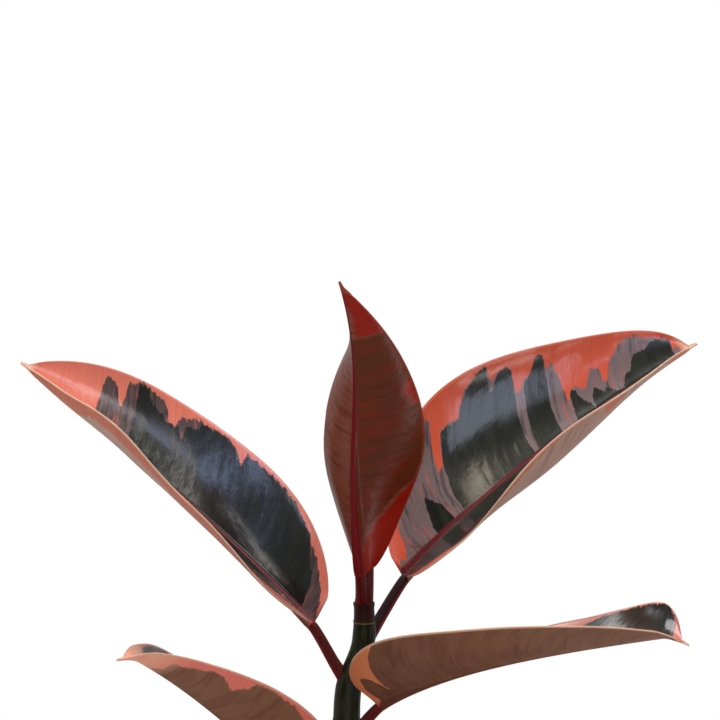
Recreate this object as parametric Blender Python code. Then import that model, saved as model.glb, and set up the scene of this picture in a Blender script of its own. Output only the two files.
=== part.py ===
"""A rubber plant with ten large leaves on one stem, standing in a round clay pot, 0.47 m tall.

Metres, +Z up. The origin is the middle of the pot's flat underside, and the front is towards -Y.
"""
import math

import bmesh
import bpy
from mathutils import Vector

# Clearance between pieces that touch
GAP = 0.0003

# Pot, a turned clay pot with a collar round its mouth
POT_HEIGHT = 0.130
POT_BASE_RADIUS = 0.050
POT_NECK_RADIUS = 0.0685
COLLAR_RADIUS = 0.075
COLLAR_HEIGHT = 0.026
POT_WALL = 0.0055
POT_FLOOR = 0.007
POT_INSIDE_FOOT_RADIUS = 0.0465
POT_ROUNDING = 0.002
POT_SIDES = 40
DRAIN_HOLES = 4
DRAIN_HOLE_RADIUS = 0.0045
DRAIN_HOLE_SIDES = 12
DRAIN_CIRCLE_RADIUS = 0.027

# Soil, which fills the pot to just below its mouth. Its relief is two sets of waves, in radians a metre.
SOIL_LEVEL = 0.116
SOIL_MOUND = 0.0025
SOIL_RELIEF = 0.0008
SOIL_FINE_WAVES = (190, 160)
SOIL_BROAD_WAVES = (90, 120)
SOIL_RING_COUNT = 7

# Stem: points x, y, z and the radius there, from its foot in the soil to its top
STEM_SIDES = 14
STEM_STEP = 0.006
STEM_POINTS = (
    (0.0000, 0.0000, 0.060, 0.0075),
    (0.0000, 0.0000, 0.120, 0.0074),
    (-0.0010, 0.0010, 0.150, 0.0071),
    (-0.0030, -0.0005, 0.180, 0.0069),
    (-0.0050, 0.0010, 0.205, 0.0067),
    (-0.0065, 0.0000, 0.235, 0.0064),
    (-0.0062, 0.0000, 0.262, 0.0062),
    (-0.0052, 0.0000, 0.280, 0.0060),
    (-0.0020, 0.0000, 0.290, 0.0058),
    (0.0012, 0.0000, 0.300, 0.0053),
    (0.0020, 0.0000, 0.308, 0.0050),
    (0.0018, 0.0000, 0.320, 0.0045),
)
# The scar that the bud's sheath leaves round the stem above each leaf stalk
SCAR_ABOVE_STALK = 0.0051
SCAR_HALF_HEIGHT = 0.0010
SCAR_RAISE = 0.0004
SCAR_OPENING = (50, 75)

# Bud sheath, the slim pointed cap over the next leaf, beside the youngest leaf's stalk
SHEATH_FOOT = (0.0042, 0.0026)
SHEATH_TIP = (0.0040, 0.0045, 0.366)
SHEATH_RADIUS = 0.0019
SHEATH_SWELL = 0.20
SHEATH_SIDES = 10
SHEATH_RINGS = 10

# Leaves: the stalk, the blade's thickness and the rib along its underside
STALK_ROOT_RADIUS = 0.0028
STALK_RADIUS = 0.0024
STALK_BEND = 0.16
STALK_RINGS = 5
STALK_CLEAR = 0.30
SEAT_REACH = 0.010
SEAT_STEPS = 40
BLADE_RINGS = 20
BLADE_THICKNESS = 0.0009
MARGIN_THICKNESS = 0.0007
RIB_HALF_WIDTH = 0.0024
RIB_FADE = 3.0
FLATTENING = 0.6
BODY_SHARE = 0.98
TAIL_HALF_WIDTH = 0.0030
TIP_HALF_WIDTH = 0.0005
TAIL_TAPER = 0.045
DROOP_START = 0.93
BLADE_COLUMNS = (0.36, 0.70, 1.0)

# Each leaf grew from the stem at a height, in a bearing (degrees from +X towards +Y) and with a rise in
# degrees. rib is the blade's middle line from its foot to its tip, and face is where its upper side looks,
# both at even steps. widest is the share of the blade's length at its widest place, and round_foot and
# round_tip are smaller for a blunter end. left and right are the halves seen from above with the tip ahead.
# Each half has lists at even steps: fill, by which its width differs from the plain outline, fold, by how
# many degrees it is folded up from the rib, and curl, how many degrees further it curls up to the margin.
# A wave is the height at the margin, the number of waves and where the first one starts.
LEAF_DEFAULTS = dict(
    widest=0.46,
    round_foot=0.45,
    round_tip=0.75,
    right_share=1.0,
    left_fill=(1.0, 1.0, 1.0),
    right_fill=(1.0, 1.0, 1.0),
    droop=0.0,
    left_wave=(0.0, 1.0, 0.0),
    right_wave=(0.0, 1.0, 0.0),
)

LEAVES = (
    dict(
        name="leaf_top",
        foot=(0.0006, -0.0013),
        rise=88,
        rib=(
            (0.0011, -0.007, 0.3348),
            (-0.0027, -0.008, 0.3829),
            (-0.0025, -0.01, 0.4256),
            (-0.0093, -0.016, 0.4701),
        ),
        face=((0.55, 0.83, 0.0), (0.55, 0.83, 0.0), (1.0, 0.3, 0.1)),
        half_width=0.0312,
        widest=0.505,
        right_share=0.85,
        round_foot=0.515,
        round_tip=0.842,
        left_fill=(0.95, 1.02, 1.02, 0.94, 1.1),
        right_fill=(0.99, 1.05, 0.92, 1.03, 1.0),
        left_fold=(12, 14, 9, 15, 15),
        left_curl=(30, 37, 30, 36, 28),
        right_fold=(21, 14, 8, 23, 45),
        right_curl=(35, 35, 32, 31, 30),
    ),
    dict(
        name="leaf_upper_right",
        height=0.306,
        bearing=40,
        rise=47,
        rib=((0.0196, 0.012, 0.3294), (0.0794, 0.03, 0.3814), (0.156, 0.052, 0.4304)),
        face=((-0.53, -0.51, 0.75), (-0.53, -0.51, 0.75), (-0.4, -0.5, 0.8)),
        half_width=0.0524,
        widest=0.523,
        round_foot=0.534,
        round_tip=0.621,
        left_fill=(0.99, 1.1, 1.02, 0.85, 1.09),
        right_fill=(1.0, 0.98, 1.01, 1.01, 0.97),
        left_fold=(14, 15, 15, 15, 17),
        left_curl=(34, 25, 39, 41, 35),
        right_fold=(6, 14, 0, 21, 15),
        right_curl=(22, 34, 76, 39, 53),
        right_wave=(0.0014, 2.0, 0.25),
    ),
    dict(
        name="leaf_upper_left",
        height=0.287,
        bearing=180,
        rise=53,
        rib=((-0.0208, -0.002, 0.3109), (-0.0886, 0.01, 0.3742), (-0.154, 0.016, 0.4279)),
        face=((0.58, -0.45, 0.72), (0.61, -0.38, 0.76), (0.6, -0.25, 0.75)),
        half_width=0.0418,
        widest=0.505,
        round_foot=0.393,
        round_tip=0.774,
        left_fill=(0.99, 0.99, 0.97, 1.04, 0.79),
        right_fill=(1.0, 1.09, 0.96, 0.95, 1.02),
        left_fold=(19, 14, 15, 9, -16),
        left_curl=(24, 32, 38, 52, 92),
        right_fold=(11, 17, 14, 16, 16),
        right_curl=(24, 35, 28, 30, 31),
        left_wave=(0.0009, 2.6, 0.44),
    ),
    dict(
        name="leaf_mid_right",
        height=0.26,
        bearing=-40,
        rise=50,
        rib=(
            (0.0094, -0.025, 0.2804),
            (0.0456, -0.056, 0.3014),
            (0.0915, -0.082, 0.3177),
            (0.1411, -0.096, 0.3289),
        ),
        face=((-0.1, 0.1, 1.0), (-0.1, 0.1, 1.0), (0.0, 0.1, 1.0)),
        half_width=0.0445,
        widest=0.492,
        round_foot=0.363,
        round_tip=0.324,
        left_fill=(1.0, 0.98, 1.05, 0.93, 1.06),
        right_fill=(0.98, 1.05, 1.01, 1.03, 0.98),
        droop=0.005,
        left_fold=(0, 1, 1, 5, 28),
        left_curl=(15, 20, 20, 25, 30),
        right_fold=(19, 22, 16, 12, 5),
        right_curl=(25, 25, 24, 20, 10),
    ),
    dict(
        name="leaf_mid_left",
        height=0.222,
        bearing=220,
        rise=50,
        rib=(
            (-0.0153, -0.024, 0.2391),
            (-0.046, -0.055, 0.2681),
            (-0.0719, -0.085, 0.2977),
            (-0.1023, -0.11, 0.3247),
        ),
        face=((0.0, 0.1, 1.0), (0.0, 0.1, 1.0), (0.0, 0.1, 1.0)),
        half_width=0.0406,
        widest=0.495,
        round_foot=0.502,
        round_tip=0.717,
        left_fill=(1.0, 0.96, 0.98, 0.99, 1.01),
        right_fill=(1.0, 1.01, 0.99, 1.01, 0.99),
        droop=0.004,
        left_fold=(4, 7, 7, 9, 16),
        left_curl=(19, 21, 20, 21, 28),
        right_fold=(14, 15, 21, 19, 13),
        right_curl=(28, 29, 30, 28, 31),
    ),
    dict(
        name="leaf_low_right",
        height=0.204,
        bearing=0,
        rise=42,
        rib=((0.026, -0.001, 0.218), (0.110, -0.006, 0.238), (0.193, -0.012, 0.224)),
        face=((-0.2, 0.0, 1.0), (-0.1, 0.0, 1.0), (0.2, 0.0, 1.0)),
        half_width=0.046,
        droop=0.004,
        left_fold=(8, 8, 8),
        left_curl=(24, 20, 20),
        right_fold=(8, 8, 8),
        right_curl=(24, 20, 20),
        left_wave=(0.0012, 2.0, 0.0),
        right_wave=(0.0012, 2.0, 0.4),
    ),
    dict(
        name="leaf_low_back_left",
        height=0.186,
        bearing=135,
        rise=42,
        rib=((-0.027, 0.024, 0.200), (-0.080, 0.076, 0.216), (-0.135, 0.128, 0.203)),
        face=((0.15, -0.15, 1.0), (0.1, -0.1, 1.0), (-0.1, 0.1, 1.0)),
        half_width=0.045,
        droop=0.004,
        left_fold=(8, 6, 6),
        left_curl=(22, 16, 16),
        right_fold=(8, 6, 6),
        right_curl=(22, 16, 16),
        left_wave=(0.0012, 2.0, 0.2),
        right_wave=(0.0012, 2.5, 0.6),
    ),
    dict(
        name="leaf_low_front",
        height=0.168,
        bearing=-85,
        rise=42,
        rib=((0.003, -0.030, 0.184), (0.009, -0.108, 0.203), (0.018, -0.186, 0.188)),
        face=((0.0, 0.2, 1.0), (0.0, 0.1, 1.0), (0.0, -0.2, 1.0)),
        half_width=0.046,
        droop=0.004,
        left_fold=(8, 8, 8),
        left_curl=(22, 20, 18),
        right_fold=(8, 8, 8),
        right_curl=(22, 20, 18),
        left_wave=(0.0014, 2.0, 0.5),
        right_wave=(0.0010, 2.5, 0.1),
    ),
    dict(
        name="leaf_low_back_right",
        height=0.152,
        bearing=50,
        rise=42,
        rib=((0.018, 0.023, 0.167), (0.070, 0.084, 0.184), (0.122, 0.144, 0.172)),
        face=((-0.15, -0.15, 1.0), (-0.1, -0.1, 1.0), (0.1, 0.1, 1.0)),
        half_width=0.046,
        droop=0.004,
        left_fold=(8, 8, 8),
        left_curl=(22, 18, 18),
        right_fold=(8, 8, 8),
        right_curl=(22, 18, 18),
        left_wave=(0.0012, 2.5, 0.3),
        right_wave=(0.0012, 2.0, 0.8),
    ),
    dict(
        name="leaf_low_left",
        height=0.138,
        bearing=190,
        rise=42,
        rib=((-0.027, -0.006, 0.153), (-0.107, -0.020, 0.170), (-0.188, -0.036, 0.158)),
        face=((0.2, 0.0, 1.0), (0.1, 0.0, 1.0), (-0.2, 0.0, 1.0)),
        half_width=0.046,
        droop=0.004,
        left_fold=(8, 8, 8),
        left_curl=(22, 20, 20),
        right_fold=(8, 8, 8),
        right_curl=(22, 20, 20),
        left_wave=(0.0012, 2.0, 0.6),
        right_wave=(0.0012, 2.5, 0.2),
    ),
)

# Colours (linear red, green, blue), roughness
CLAY = ((0.46, 0.17, 0.08), 0.80)
EARTH = ((0.035, 0.022, 0.014), 0.95)
STEM_GREEN = ((0.045, 0.055, 0.020), 0.45)
SHEATH_RED = ((0.30, 0.05, 0.03), 0.45)
LEAF_DARK = ((0.035, 0.030, 0.028), 0.30)


def clear_scene():
    """Remove whatever the scene holds, so that the model starts empty."""
    for item in list(bpy.data.objects):
        bpy.data.objects.remove(item, do_unlink=True)


def finish(mesh_builder, name, look, sharp_degrees=40):
    """Turn a bmesh into a named object with its own material and smooth shading."""
    bmesh.ops.recalc_face_normals(mesh_builder, faces=mesh_builder.faces)
    mesh = bpy.data.meshes.new(name)
    mesh_builder.to_mesh(mesh)
    mesh_builder.free()
    mesh.shade_smooth()
    mesh.set_sharp_from_angle(angle=math.radians(sharp_degrees))
    colour, roughness = look
    material = bpy.data.materials.new(name)
    material.use_nodes = True
    shader = material.node_tree.nodes["Principled BSDF"]
    shader.inputs["Base Color"].default_value = (*colour, 1.0)
    shader.inputs["Roughness"].default_value = roughness
    shader.inputs["Metallic"].default_value = 0.0
    mesh.materials.append(material)
    item = bpy.data.objects.new(name, mesh)
    bpy.context.collection.objects.link(item)
    return item


def through(values, share):
    """A smooth value through evenly spaced values, from the first (share 0) to the last (share 1)."""
    last = len(values) - 1
    total = values[0] * 0.0
    for i, value in enumerate(values):
        weight = 1.0
        for j in range(last + 1):
            if j != i:
                weight *= (share * last - j) / (i - j)
        total = total + value * weight
    return total


def loft(rings, ends, flipped_from=None):
    """Join rings of points into one closed body whose two ends fan out from a middle point.

    From the place flipped_from on, a ring's faces are split along their other diagonal.
    """
    built = bmesh.new()
    rows = [[built.verts.new(point) for point in ring] for ring in rings]
    count = len(rows[0])
    for lower, upper in zip(rows, rows[1:]):
        for a in range(count):
            b = (a + 1) % count
            if flipped_from is not None and a >= flipped_from:
                built.faces.new((lower[a], lower[b], upper[a]))
                built.faces.new((lower[b], upper[b], upper[a]))
            else:
                built.faces.new((lower[a], lower[b], upper[b]))
                built.faces.new((lower[a], upper[b], upper[a]))
    for row, end in ((rows[0], ends[0]), (rows[-1], ends[1])):
        middle = built.verts.new(end)
        for a in range(count):
            built.faces.new((row[a], row[(a + 1) % count], middle))
    return built


def rounded(corners, radius, segments=2):
    """Round the inner corners of a profile (r, z, whether it is rounded) with short arcs."""
    points = []
    for i, (r, z, soft) in enumerate(corners):
        here = Vector((r, z))
        if not soft:
            points.append(here)
            continue
        before = (Vector(corners[i - 1][:2]) - here).normalized()
        after = (Vector(corners[i + 1][:2]) - here).normalized()
        for k in range(segments + 1):
            t = k / segments
            points.append(here + before * radius * (1 - t) ** 2 + after * radius * t ** 2)
    return points


def turn(profile, sides):
    """Turn a profile of (r, z) points round the Z axis into a closed body."""
    built = bmesh.new()
    row = [built.verts.new((p[0], 0.0, p[1])) for p in profile]
    edges = [built.edges.new(pair) for pair in zip(row, row[1:])]
    bmesh.ops.spin(
        built,
        geom=row + edges,
        cent=(0, 0, 0),
        axis=(0, 0, 1),
        angle=math.tau,
        steps=sides,
        use_merge=True,
    )
    bmesh.ops.remove_doubles(built, verts=built.verts, dist=0.00001)
    return built


def pot_inner_radius(z):
    """Radius of the pot's inside, which narrows evenly towards the floor."""
    share = (z - POT_FLOOR) / (POT_HEIGHT - POT_FLOOR)
    mouth = COLLAR_RADIUS - POT_WALL
    return POT_INSIDE_FOOT_RADIUS + (mouth - POT_INSIDE_FOOT_RADIUS) * share


def make_pot():
    """A tapered clay pot with a collar and small drain holes in its floor."""
    collar_foot = POT_HEIGHT - COLLAR_HEIGHT
    profile = rounded(
        (
            (0.0, 0.0, False),
            (POT_BASE_RADIUS, 0.0, True),
            (POT_NECK_RADIUS, collar_foot, False),
            (COLLAR_RADIUS, collar_foot, True),
            (COLLAR_RADIUS, POT_HEIGHT, True),
            (pot_inner_radius(POT_HEIGHT), POT_HEIGHT, True),
            (pot_inner_radius(POT_FLOOR), POT_FLOOR, False),
            (0.0, POT_FLOOR, False),
        ),
        POT_ROUNDING,
    )
    pot = finish(turn(profile, POT_SIDES), "pot", CLAY)
    for i in range(DRAIN_HOLES):
        angle = math.tau * (i + 0.5) / DRAIN_HOLES
        drill = make_drill(angle)
        cut = pot.modifiers.new("drain_hole", "BOOLEAN")
        cut.operation = "DIFFERENCE"
        cut.object = drill
    return pot


def make_drill(angle):
    """A round cutter that stands through the pot's floor."""
    built = bmesh.new()
    bmesh.ops.create_cone(
        built,
        cap_ends=True,
        segments=DRAIN_HOLE_SIDES,
        radius1=DRAIN_HOLE_RADIUS,
        radius2=DRAIN_HOLE_RADIUS,
        depth=POT_FLOOR * 3,
    )
    drill = finish(built, "drill", CLAY)
    drill.location = (DRAIN_CIRCLE_RADIUS * math.cos(angle), DRAIN_CIRCLE_RADIUS * math.sin(angle), 0.0)
    drill.hide_render = True
    drill.display_type = "WIRE"
    return drill


def make_soil():
    """Potting soil with a low mound round the stem, which stands in a plain hole."""
    floor = POT_FLOOR + GAP
    stem_foot = STEM_POINTS[0]
    hole_radius = stem_foot[3] + GAP
    edge = pot_inner_radius(SOIL_LEVEL) - GAP
    profile = [Vector((0.0, floor)), Vector((pot_inner_radius(floor) - GAP, floor))]
    profile.append(Vector((edge, SOIL_LEVEL)))
    for i in range(1, SOIL_RING_COUNT):
        share = i / SOIL_RING_COUNT
        height = SOIL_LEVEL + SOIL_MOUND * math.sin(math.pi * share / 2)
        profile.append(Vector((edge + (hole_radius - edge) * share, height)))
    profile.append(Vector((hole_radius, SOIL_LEVEL + SOIL_MOUND)))
    profile.append(Vector((hole_radius, stem_foot[2] - GAP)))
    profile.append(Vector((0.0, stem_foot[2] - GAP)))
    built = turn(profile, POT_SIDES)
    for vert in built.verts:
        radius = vert.co.xy.length
        if vert.co.z > SOIL_LEVEL + 0.0001 and radius > hole_radius * 1.5:
            fine = math.sin(vert.co.x * SOIL_FINE_WAVES[0] + 1) * math.sin(vert.co.y * SOIL_FINE_WAVES[1] + 2)
            broad = math.sin(vert.co.x * SOIL_BROAD_WAVES[0] - vert.co.y * SOIL_BROAD_WAVES[1])
            vert.co.z += SOIL_RELIEF * (fine + broad)
    return finish(built, "soil", EARTH)


def stem_at(z):
    """Middle (x, y) and radius of the stem at height z, on a smooth curve through its points."""
    points = STEM_POINTS
    z = min(max(z, points[0][2]), points[-1][2])
    i = 0
    while i < len(points) - 2 and z > points[i + 1][2]:
        i += 1
    span = points[i + 1][2] - points[i][2]
    t = (z - points[i][2]) / span
    found = []
    for k in (0, 1, 3):
        slope_here = stem_slope(i, k) * span
        slope_next = stem_slope(i + 1, k) * span
        here = points[i][k] * (1 + 2 * t) * (1 - t) ** 2 + slope_here * t * (1 - t) ** 2
        found.append(here + points[i + 1][k] * t * t * (3 - 2 * t) + slope_next * t * t * (t - 1))
    return found


def stem_slope(i, k):
    """How fast the stem's value k changes with height at its point i."""
    before = STEM_POINTS[max(i - 1, 0)]
    after = STEM_POINTS[min(i + 1, len(STEM_POINTS) - 1)]
    return (after[k] - before[k]) / (after[2] - before[2])


def scar_raise(z, bearing):
    """How far the sheath scars stand out of the stem there. They stop where a stalk joins it."""
    raised = 0.0
    for leaf in LEAVES:
        if "height" not in leaf:
            continue
        away = abs(z - leaf["height"] - SCAR_ABOVE_STALK)
        if away >= SCAR_HALF_HEIGHT:
            continue
        turn_away = abs((bearing - leaf["bearing"] + 180) % 360 - 180)
        start, full = SCAR_OPENING
        share = min(max((turn_away - start) / (full - start), 0.0), 1.0)
        raised = max(raised, SCAR_RAISE * share * (1 - away / SCAR_HALF_HEIGHT))
    return raised


def stem_levels():
    """Heights of the stem's rings: even steps, and three for each scar."""
    foot = STEM_POINTS[0][2]
    top = STEM_POINTS[-1][2]
    scars = [leaf["height"] + SCAR_ABOVE_STALK for leaf in LEAVES if "height" in leaf]
    close = SCAR_HALF_HEIGHT * 1.5
    levels = [foot, SOIL_LEVEL, top]
    steps = int((top - SOIL_LEVEL) / STEM_STEP)
    levels += [SOIL_LEVEL + STEM_STEP * i for i in range(1, steps)]
    levels = [z for z in levels if all(abs(z - scar) > close for scar in scars)]
    for scar in scars:
        levels += [scar - SCAR_HALF_HEIGHT, scar, scar + SCAR_HALF_HEIGHT]
    return sorted(levels)


def make_stem():
    """The upright stem with a scar ring above each stalk."""
    rings = []
    for z in stem_levels():
        x, y, radius = stem_at(z)
        ring = []
        for i in range(STEM_SIDES):
            angle = math.tau * i / STEM_SIDES
            reach = radius + scar_raise(z, math.degrees(angle))
            ring.append(Vector((x + reach * math.cos(angle), y + reach * math.sin(angle), z)))
        rings.append(ring)
    foot = STEM_POINTS[0]
    top = STEM_POINTS[-1]
    ends = (Vector(foot[:3]), Vector(top[:3]))
    return finish(loft(rings, ends), "stem", STEM_GREEN)


def make_sheath():
    """The bud's pointed sheath on top of the stem."""
    foot = Vector((*SHEATH_FOOT, STEM_POINTS[-1][2] + GAP))
    tip = Vector(SHEATH_TIP)
    rings = []
    for i in range(SHEATH_RINGS):
        share = i / SHEATH_RINGS
        middle = foot.lerp(tip, share)
        radius = SHEATH_RADIUS * (1 + SHEATH_SWELL * math.sin(math.pi * share)) * (1 - share ** 3)
        ring = []
        for k in range(SHEATH_SIDES):
            angle = math.tau * k / SHEATH_SIDES
            ring.append(middle + Vector((radius * math.cos(angle), radius * math.sin(angle), 0.0)))
        rings.append(ring)
    return finish(loft(rings, (foot, tip)), "bud_sheath", SHEATH_RED)


def blade_frame(leaf, share):
    """Middle line point, direction, upper side's direction and left direction at a share of the blade."""
    rib = [Vector(point) for point in leaf["rib"]]
    step = 0.001
    point = through(rib, share)
    ahead = (through(rib, share + step) - through(rib, share - step)).normalized()
    face = through([Vector(look).normalized() for look in leaf["face"]], share)
    up = (face - ahead * face.dot(ahead)).normalized()
    if share > DROOP_START:
        point = point - up * leaf["droop"] * ((share - DROOP_START) / (1 - DROOP_START)) ** 1.5
    return point, ahead, up, up.cross(ahead)


def half_width(leaf, side, share):
    """Width of one half of the blade: a full outline that runs out into a narrow tail."""
    along = min(share / BODY_SHARE, 1.0)
    power = math.log(0.5) / math.log(leaf["widest"])
    bluntness = leaf["round_foot"] + (leaf["round_tip"] - leaf["round_foot"]) * along
    outline = max(math.sin(math.pi * along ** power), 0.0) ** bluntness
    width = leaf["half_width"] * outline * through(leaf[side + "_fill"], share)
    if side == "right":
        width *= leaf["right_share"]
    if share < 0.5:
        return max(width, STALK_RADIUS)
    tail = min(TAIL_HALF_WIDTH, TIP_HALF_WIDTH + TAIL_TAPER * (1 - share))
    return math.hypot(width, tail)


def half_section(leaf, side, share):
    """Points across one half: distance out, height above the rib, slope angle and share of the width."""
    width = half_width(leaf, side, share)
    fold = math.radians(through(leaf[side + "_fold"], share))
    curl = math.radians(through(leaf[side + "_curl"], share))
    wave_height, waves, wave_start = leaf[side + "_wave"]
    wave = wave_height * math.sin(math.tau * (waves * share + wave_start))
    wave *= min(1.0, 1.5 * width / leaf["half_width"])
    rib_edge = min(RIB_HALF_WIDTH * (1 - 0.5 * share) / width, 0.4)
    points = []
    for across in (rib_edge, *(rib_edge + (1 - rib_edge) * column for column in BLADE_COLUMNS)):
        slope = fold + curl * across
        out = width * (math.sin(slope) - math.sin(fold)) / curl
        height = width * (math.cos(fold) - math.cos(slope)) / curl
        lift = wave * across * across
        points.append((out - math.sin(slope) * lift, height + math.cos(slope) * lift, slope, across))
    return points


def blade_ring(leaf, share):
    """One closed section of the blade: the upper side from right to left, then the underside back."""
    point, ahead, up, left = blade_frame(leaf, share)
    half = BLADE_THICKNESS / 2
    rib_depth = (2 * STALK_RADIUS - BLADE_THICKNESS) * (1 - share) ** RIB_FADE
    upper = [point + up * half]
    lower = [point - up * (half + rib_depth)]
    for side, sign in (("left", 1), ("right", -1)):
        top_row = []
        bottom_row = []
        for out, height, slope, across in half_section(leaf, side, share):
            middle = point + left * (sign * out) + up * height
            normal = up * math.cos(slope) - left * (sign * math.sin(slope))
            thick = half + (MARGIN_THICKNESS / 2 - half) * across
            top_row.append(middle + normal * thick)
            bottom_row.append(middle - normal * thick)
        if side == "left":
            upper = upper + top_row
            lower = lower + bottom_row
        else:
            upper = top_row[::-1] + upper
            lower = bottom_row[::-1] + lower
    return upper + lower[::-1]


def stalk_ring(middle, up, left, radius):
    """A round section of the stalk, with as many points as the blade's sections and in their order."""
    count = 2 * (2 * len(BLADE_COLUMNS) + 3)
    ring = []
    for i in range(count):
        angle = math.pi - math.tau * (i + 0.5) / count
        ring.append(middle + left * (radius * math.cos(angle)) + up * (radius * math.sin(angle)))
    return ring


def seat(leaf, point, direction):
    """Slide a point along the stalk's direction until it is a gap away from the stem."""
    if "height" not in leaf:
        rest = STEM_POINTS[-1][2] + GAP
        return point + direction * ((rest - point.z) / direction.z)
    near = -SEAT_REACH
    far = SEAT_REACH
    for _ in range(SEAT_STEPS):
        middle = (near + far) / 2
        moved = point + direction * middle
        x, y, radius = stem_at(moved.z)
        if math.hypot(moved.x - x, moved.y - y) < radius + GAP:
            near = middle
        else:
            far = middle
    return point + direction * far


def stalk_start(leaf):
    """Where the stalk leaves the stem, and its direction there."""
    rise = math.radians(leaf["rise"])
    if "height" not in leaf:
        lean = math.cos(rise)
        return Vector((*leaf["foot"], STEM_POINTS[-1][2] + GAP)), Vector((0.0, -lean, math.sin(rise)))
    bearing = math.radians(leaf["bearing"])
    x, y, radius = stem_at(leaf["height"])
    outward = Vector((math.cos(bearing), math.sin(bearing), 0.0))
    start = Vector((x, y, leaf["height"])) + outward * (radius + GAP)
    return start, outward * math.cos(rise) + Vector((0.0, 0.0, math.sin(rise)))


def stalk_rings(leaf):
    """Round sections from the stem to the blade's foot, and the middle of the first."""
    start, direction = stalk_start(leaf)
    point, ahead, up, _ = blade_frame(leaf, 0.0)
    end = point - up * (STALK_RADIUS - BLADE_THICKNESS / 2)
    reach = (end - start).length * STALK_BEND
    handles = (start, start + direction * reach, end - ahead * reach, end)
    up_here = (up - direction * up.dot(direction)).normalized()
    root = stalk_ring(start, up_here, up_here.cross(direction), STALK_ROOT_RADIUS)
    rings = [[seat(leaf, corner, direction) for corner in root]]
    for i in range(STALK_RINGS):
        t = STALK_CLEAR + (1 - STALK_CLEAR) * i / STALK_RINGS
        weights = ((1 - t) ** 3, 3 * t * (1 - t) ** 2, 3 * t * t * (1 - t), t ** 3)
        middle = sum((handle * weight for handle, weight in zip(handles, weights)), Vector())
        heading = direction.lerp(ahead, t).normalized()
        up_here = (up - heading * up.dot(heading)).normalized()
        radius = STALK_ROOT_RADIUS + (STALK_RADIUS - STALK_ROOT_RADIUS) * t
        rings.append(stalk_ring(middle, up_here, up_here.cross(heading), radius))
    return rings, seat(leaf, start, direction)


def make_leaf(given):
    """Stalk, rib and blade of one leaf as one body."""
    leaf = {**LEAF_DEFAULTS, **given}
    rings, root = stalk_rings(leaf)
    point, _, up, left = blade_frame(leaf, 0.0)
    rings.append(stalk_ring(point - up * (STALK_RADIUS - BLADE_THICKNESS / 2), up, left, STALK_RADIUS))
    for i in range(1, BLADE_RINGS + 1):
        share = (1 - math.cos(math.pi * i / BLADE_RINGS)) / 2
        ring = blade_ring(leaf, share)
        flattened = min(1.0, FLATTENING * i)
        if flattened < 1.0:
            point, _, up, left = blade_frame(leaf, share)
            round_ring = stalk_ring(point - up * (STALK_RADIUS - BLADE_THICKNESS / 2), up, left, STALK_RADIUS)
            ring = [a.lerp(b, flattened) for a, b in zip(round_ring, ring)]
        rings.append(ring)
    tip = blade_frame(leaf, 1.0)[0]
    built = loft(rings, (root, tip), flipped_from=len(rings[0]) // 2)
    return finish(built, leaf["name"], LEAF_DARK, sharp_degrees=60)


clear_scene()
make_pot()
make_soil()
make_stem()
make_sheath()
for each in LEAVES:
    make_leaf(each)
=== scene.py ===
"""A young variegated rubber plant in a turned clay pot, 0.47 m tall.

Metres, +Z up. The origin is the middle of the pot's underside, and the front is towards -Y.
"""

import math
import random

import bmesh
import bpy
import numpy as np
from mathutils import Matrix, Vector, noise


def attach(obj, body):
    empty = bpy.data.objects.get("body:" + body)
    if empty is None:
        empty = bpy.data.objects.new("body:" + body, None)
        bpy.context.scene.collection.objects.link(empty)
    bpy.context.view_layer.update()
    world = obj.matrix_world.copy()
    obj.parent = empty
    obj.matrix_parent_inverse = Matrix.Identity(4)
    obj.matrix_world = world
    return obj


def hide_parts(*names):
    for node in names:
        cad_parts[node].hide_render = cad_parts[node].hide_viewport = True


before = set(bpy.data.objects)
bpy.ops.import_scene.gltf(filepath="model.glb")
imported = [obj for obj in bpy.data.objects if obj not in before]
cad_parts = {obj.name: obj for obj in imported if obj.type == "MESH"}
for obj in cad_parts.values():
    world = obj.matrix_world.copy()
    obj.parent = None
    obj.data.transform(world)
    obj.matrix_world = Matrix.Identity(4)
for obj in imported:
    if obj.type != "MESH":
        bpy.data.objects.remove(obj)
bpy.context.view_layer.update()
MM = 0.001

# Pot
# An unglazed terracotta flower pot, pressed and turned from red clay and fired once, with a thick collar
# round its mouth and four drain holes. It stands on its flat underside.
POT_HEIGHT = 0.130
POT_BASE_RADIUS = 0.050
POT_NECK_RADIUS = 0.0685
COLLAR_RADIUS = 0.075
COLLAR_HEIGHT = 0.026
POT_WALL = 0.0055
POT_FLOOR = 0.007
POT_FOOT_INSIDE = 0.0465
POT_EDGE = 0.0022
POT_STEPS = 128
DRAIN_HOLES = 4
DRAIN_RADIUS = 0.0045
DRAIN_CIRCLE = 0.027
# Height steps along the pot's wall, so that the turned surface can waver a little
WALL_STEP = 0.004
WALL_WAVER = 0.00036
WAVERS_PER_METRE = Vector((18, 18, 60))


def linear(code):
    """The linear red, green, blue and alpha of an sRGB hex colour."""
    parts = [int(code[i:i + 2], 16) / 255 for i in (1, 3, 5)]
    return (*[p / 12.92 if p <= 0.04045 else ((p + 0.055) / 1.055) ** 2.4 for p in parts], 1.0)


def new_material(name, **uniform):
    """A material with one Principled shader. uniform holds the values that are the same all over it."""
    material = bpy.data.materials.new(name)
    material.use_nodes = True
    shader = material.node_tree.nodes["Principled BSDF"]
    for socket, value in uniform.items():
        shader.inputs[socket.replace("_", " ")].default_value = value
    return material, material.node_tree, shader


def feed(node, inputs):
    """Give a node its inputs, by name or number: a value, an output, or a node for its first output."""
    for socket, value in inputs.items():
        if isinstance(value, bpy.types.Node):
            value = next(output for output in value.outputs if output.enabled)
        if isinstance(value, bpy.types.NodeSocket):
            node.id_data.links.new(value, node.inputs[socket])
        else:
            node.inputs[socket].default_value = value


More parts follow.
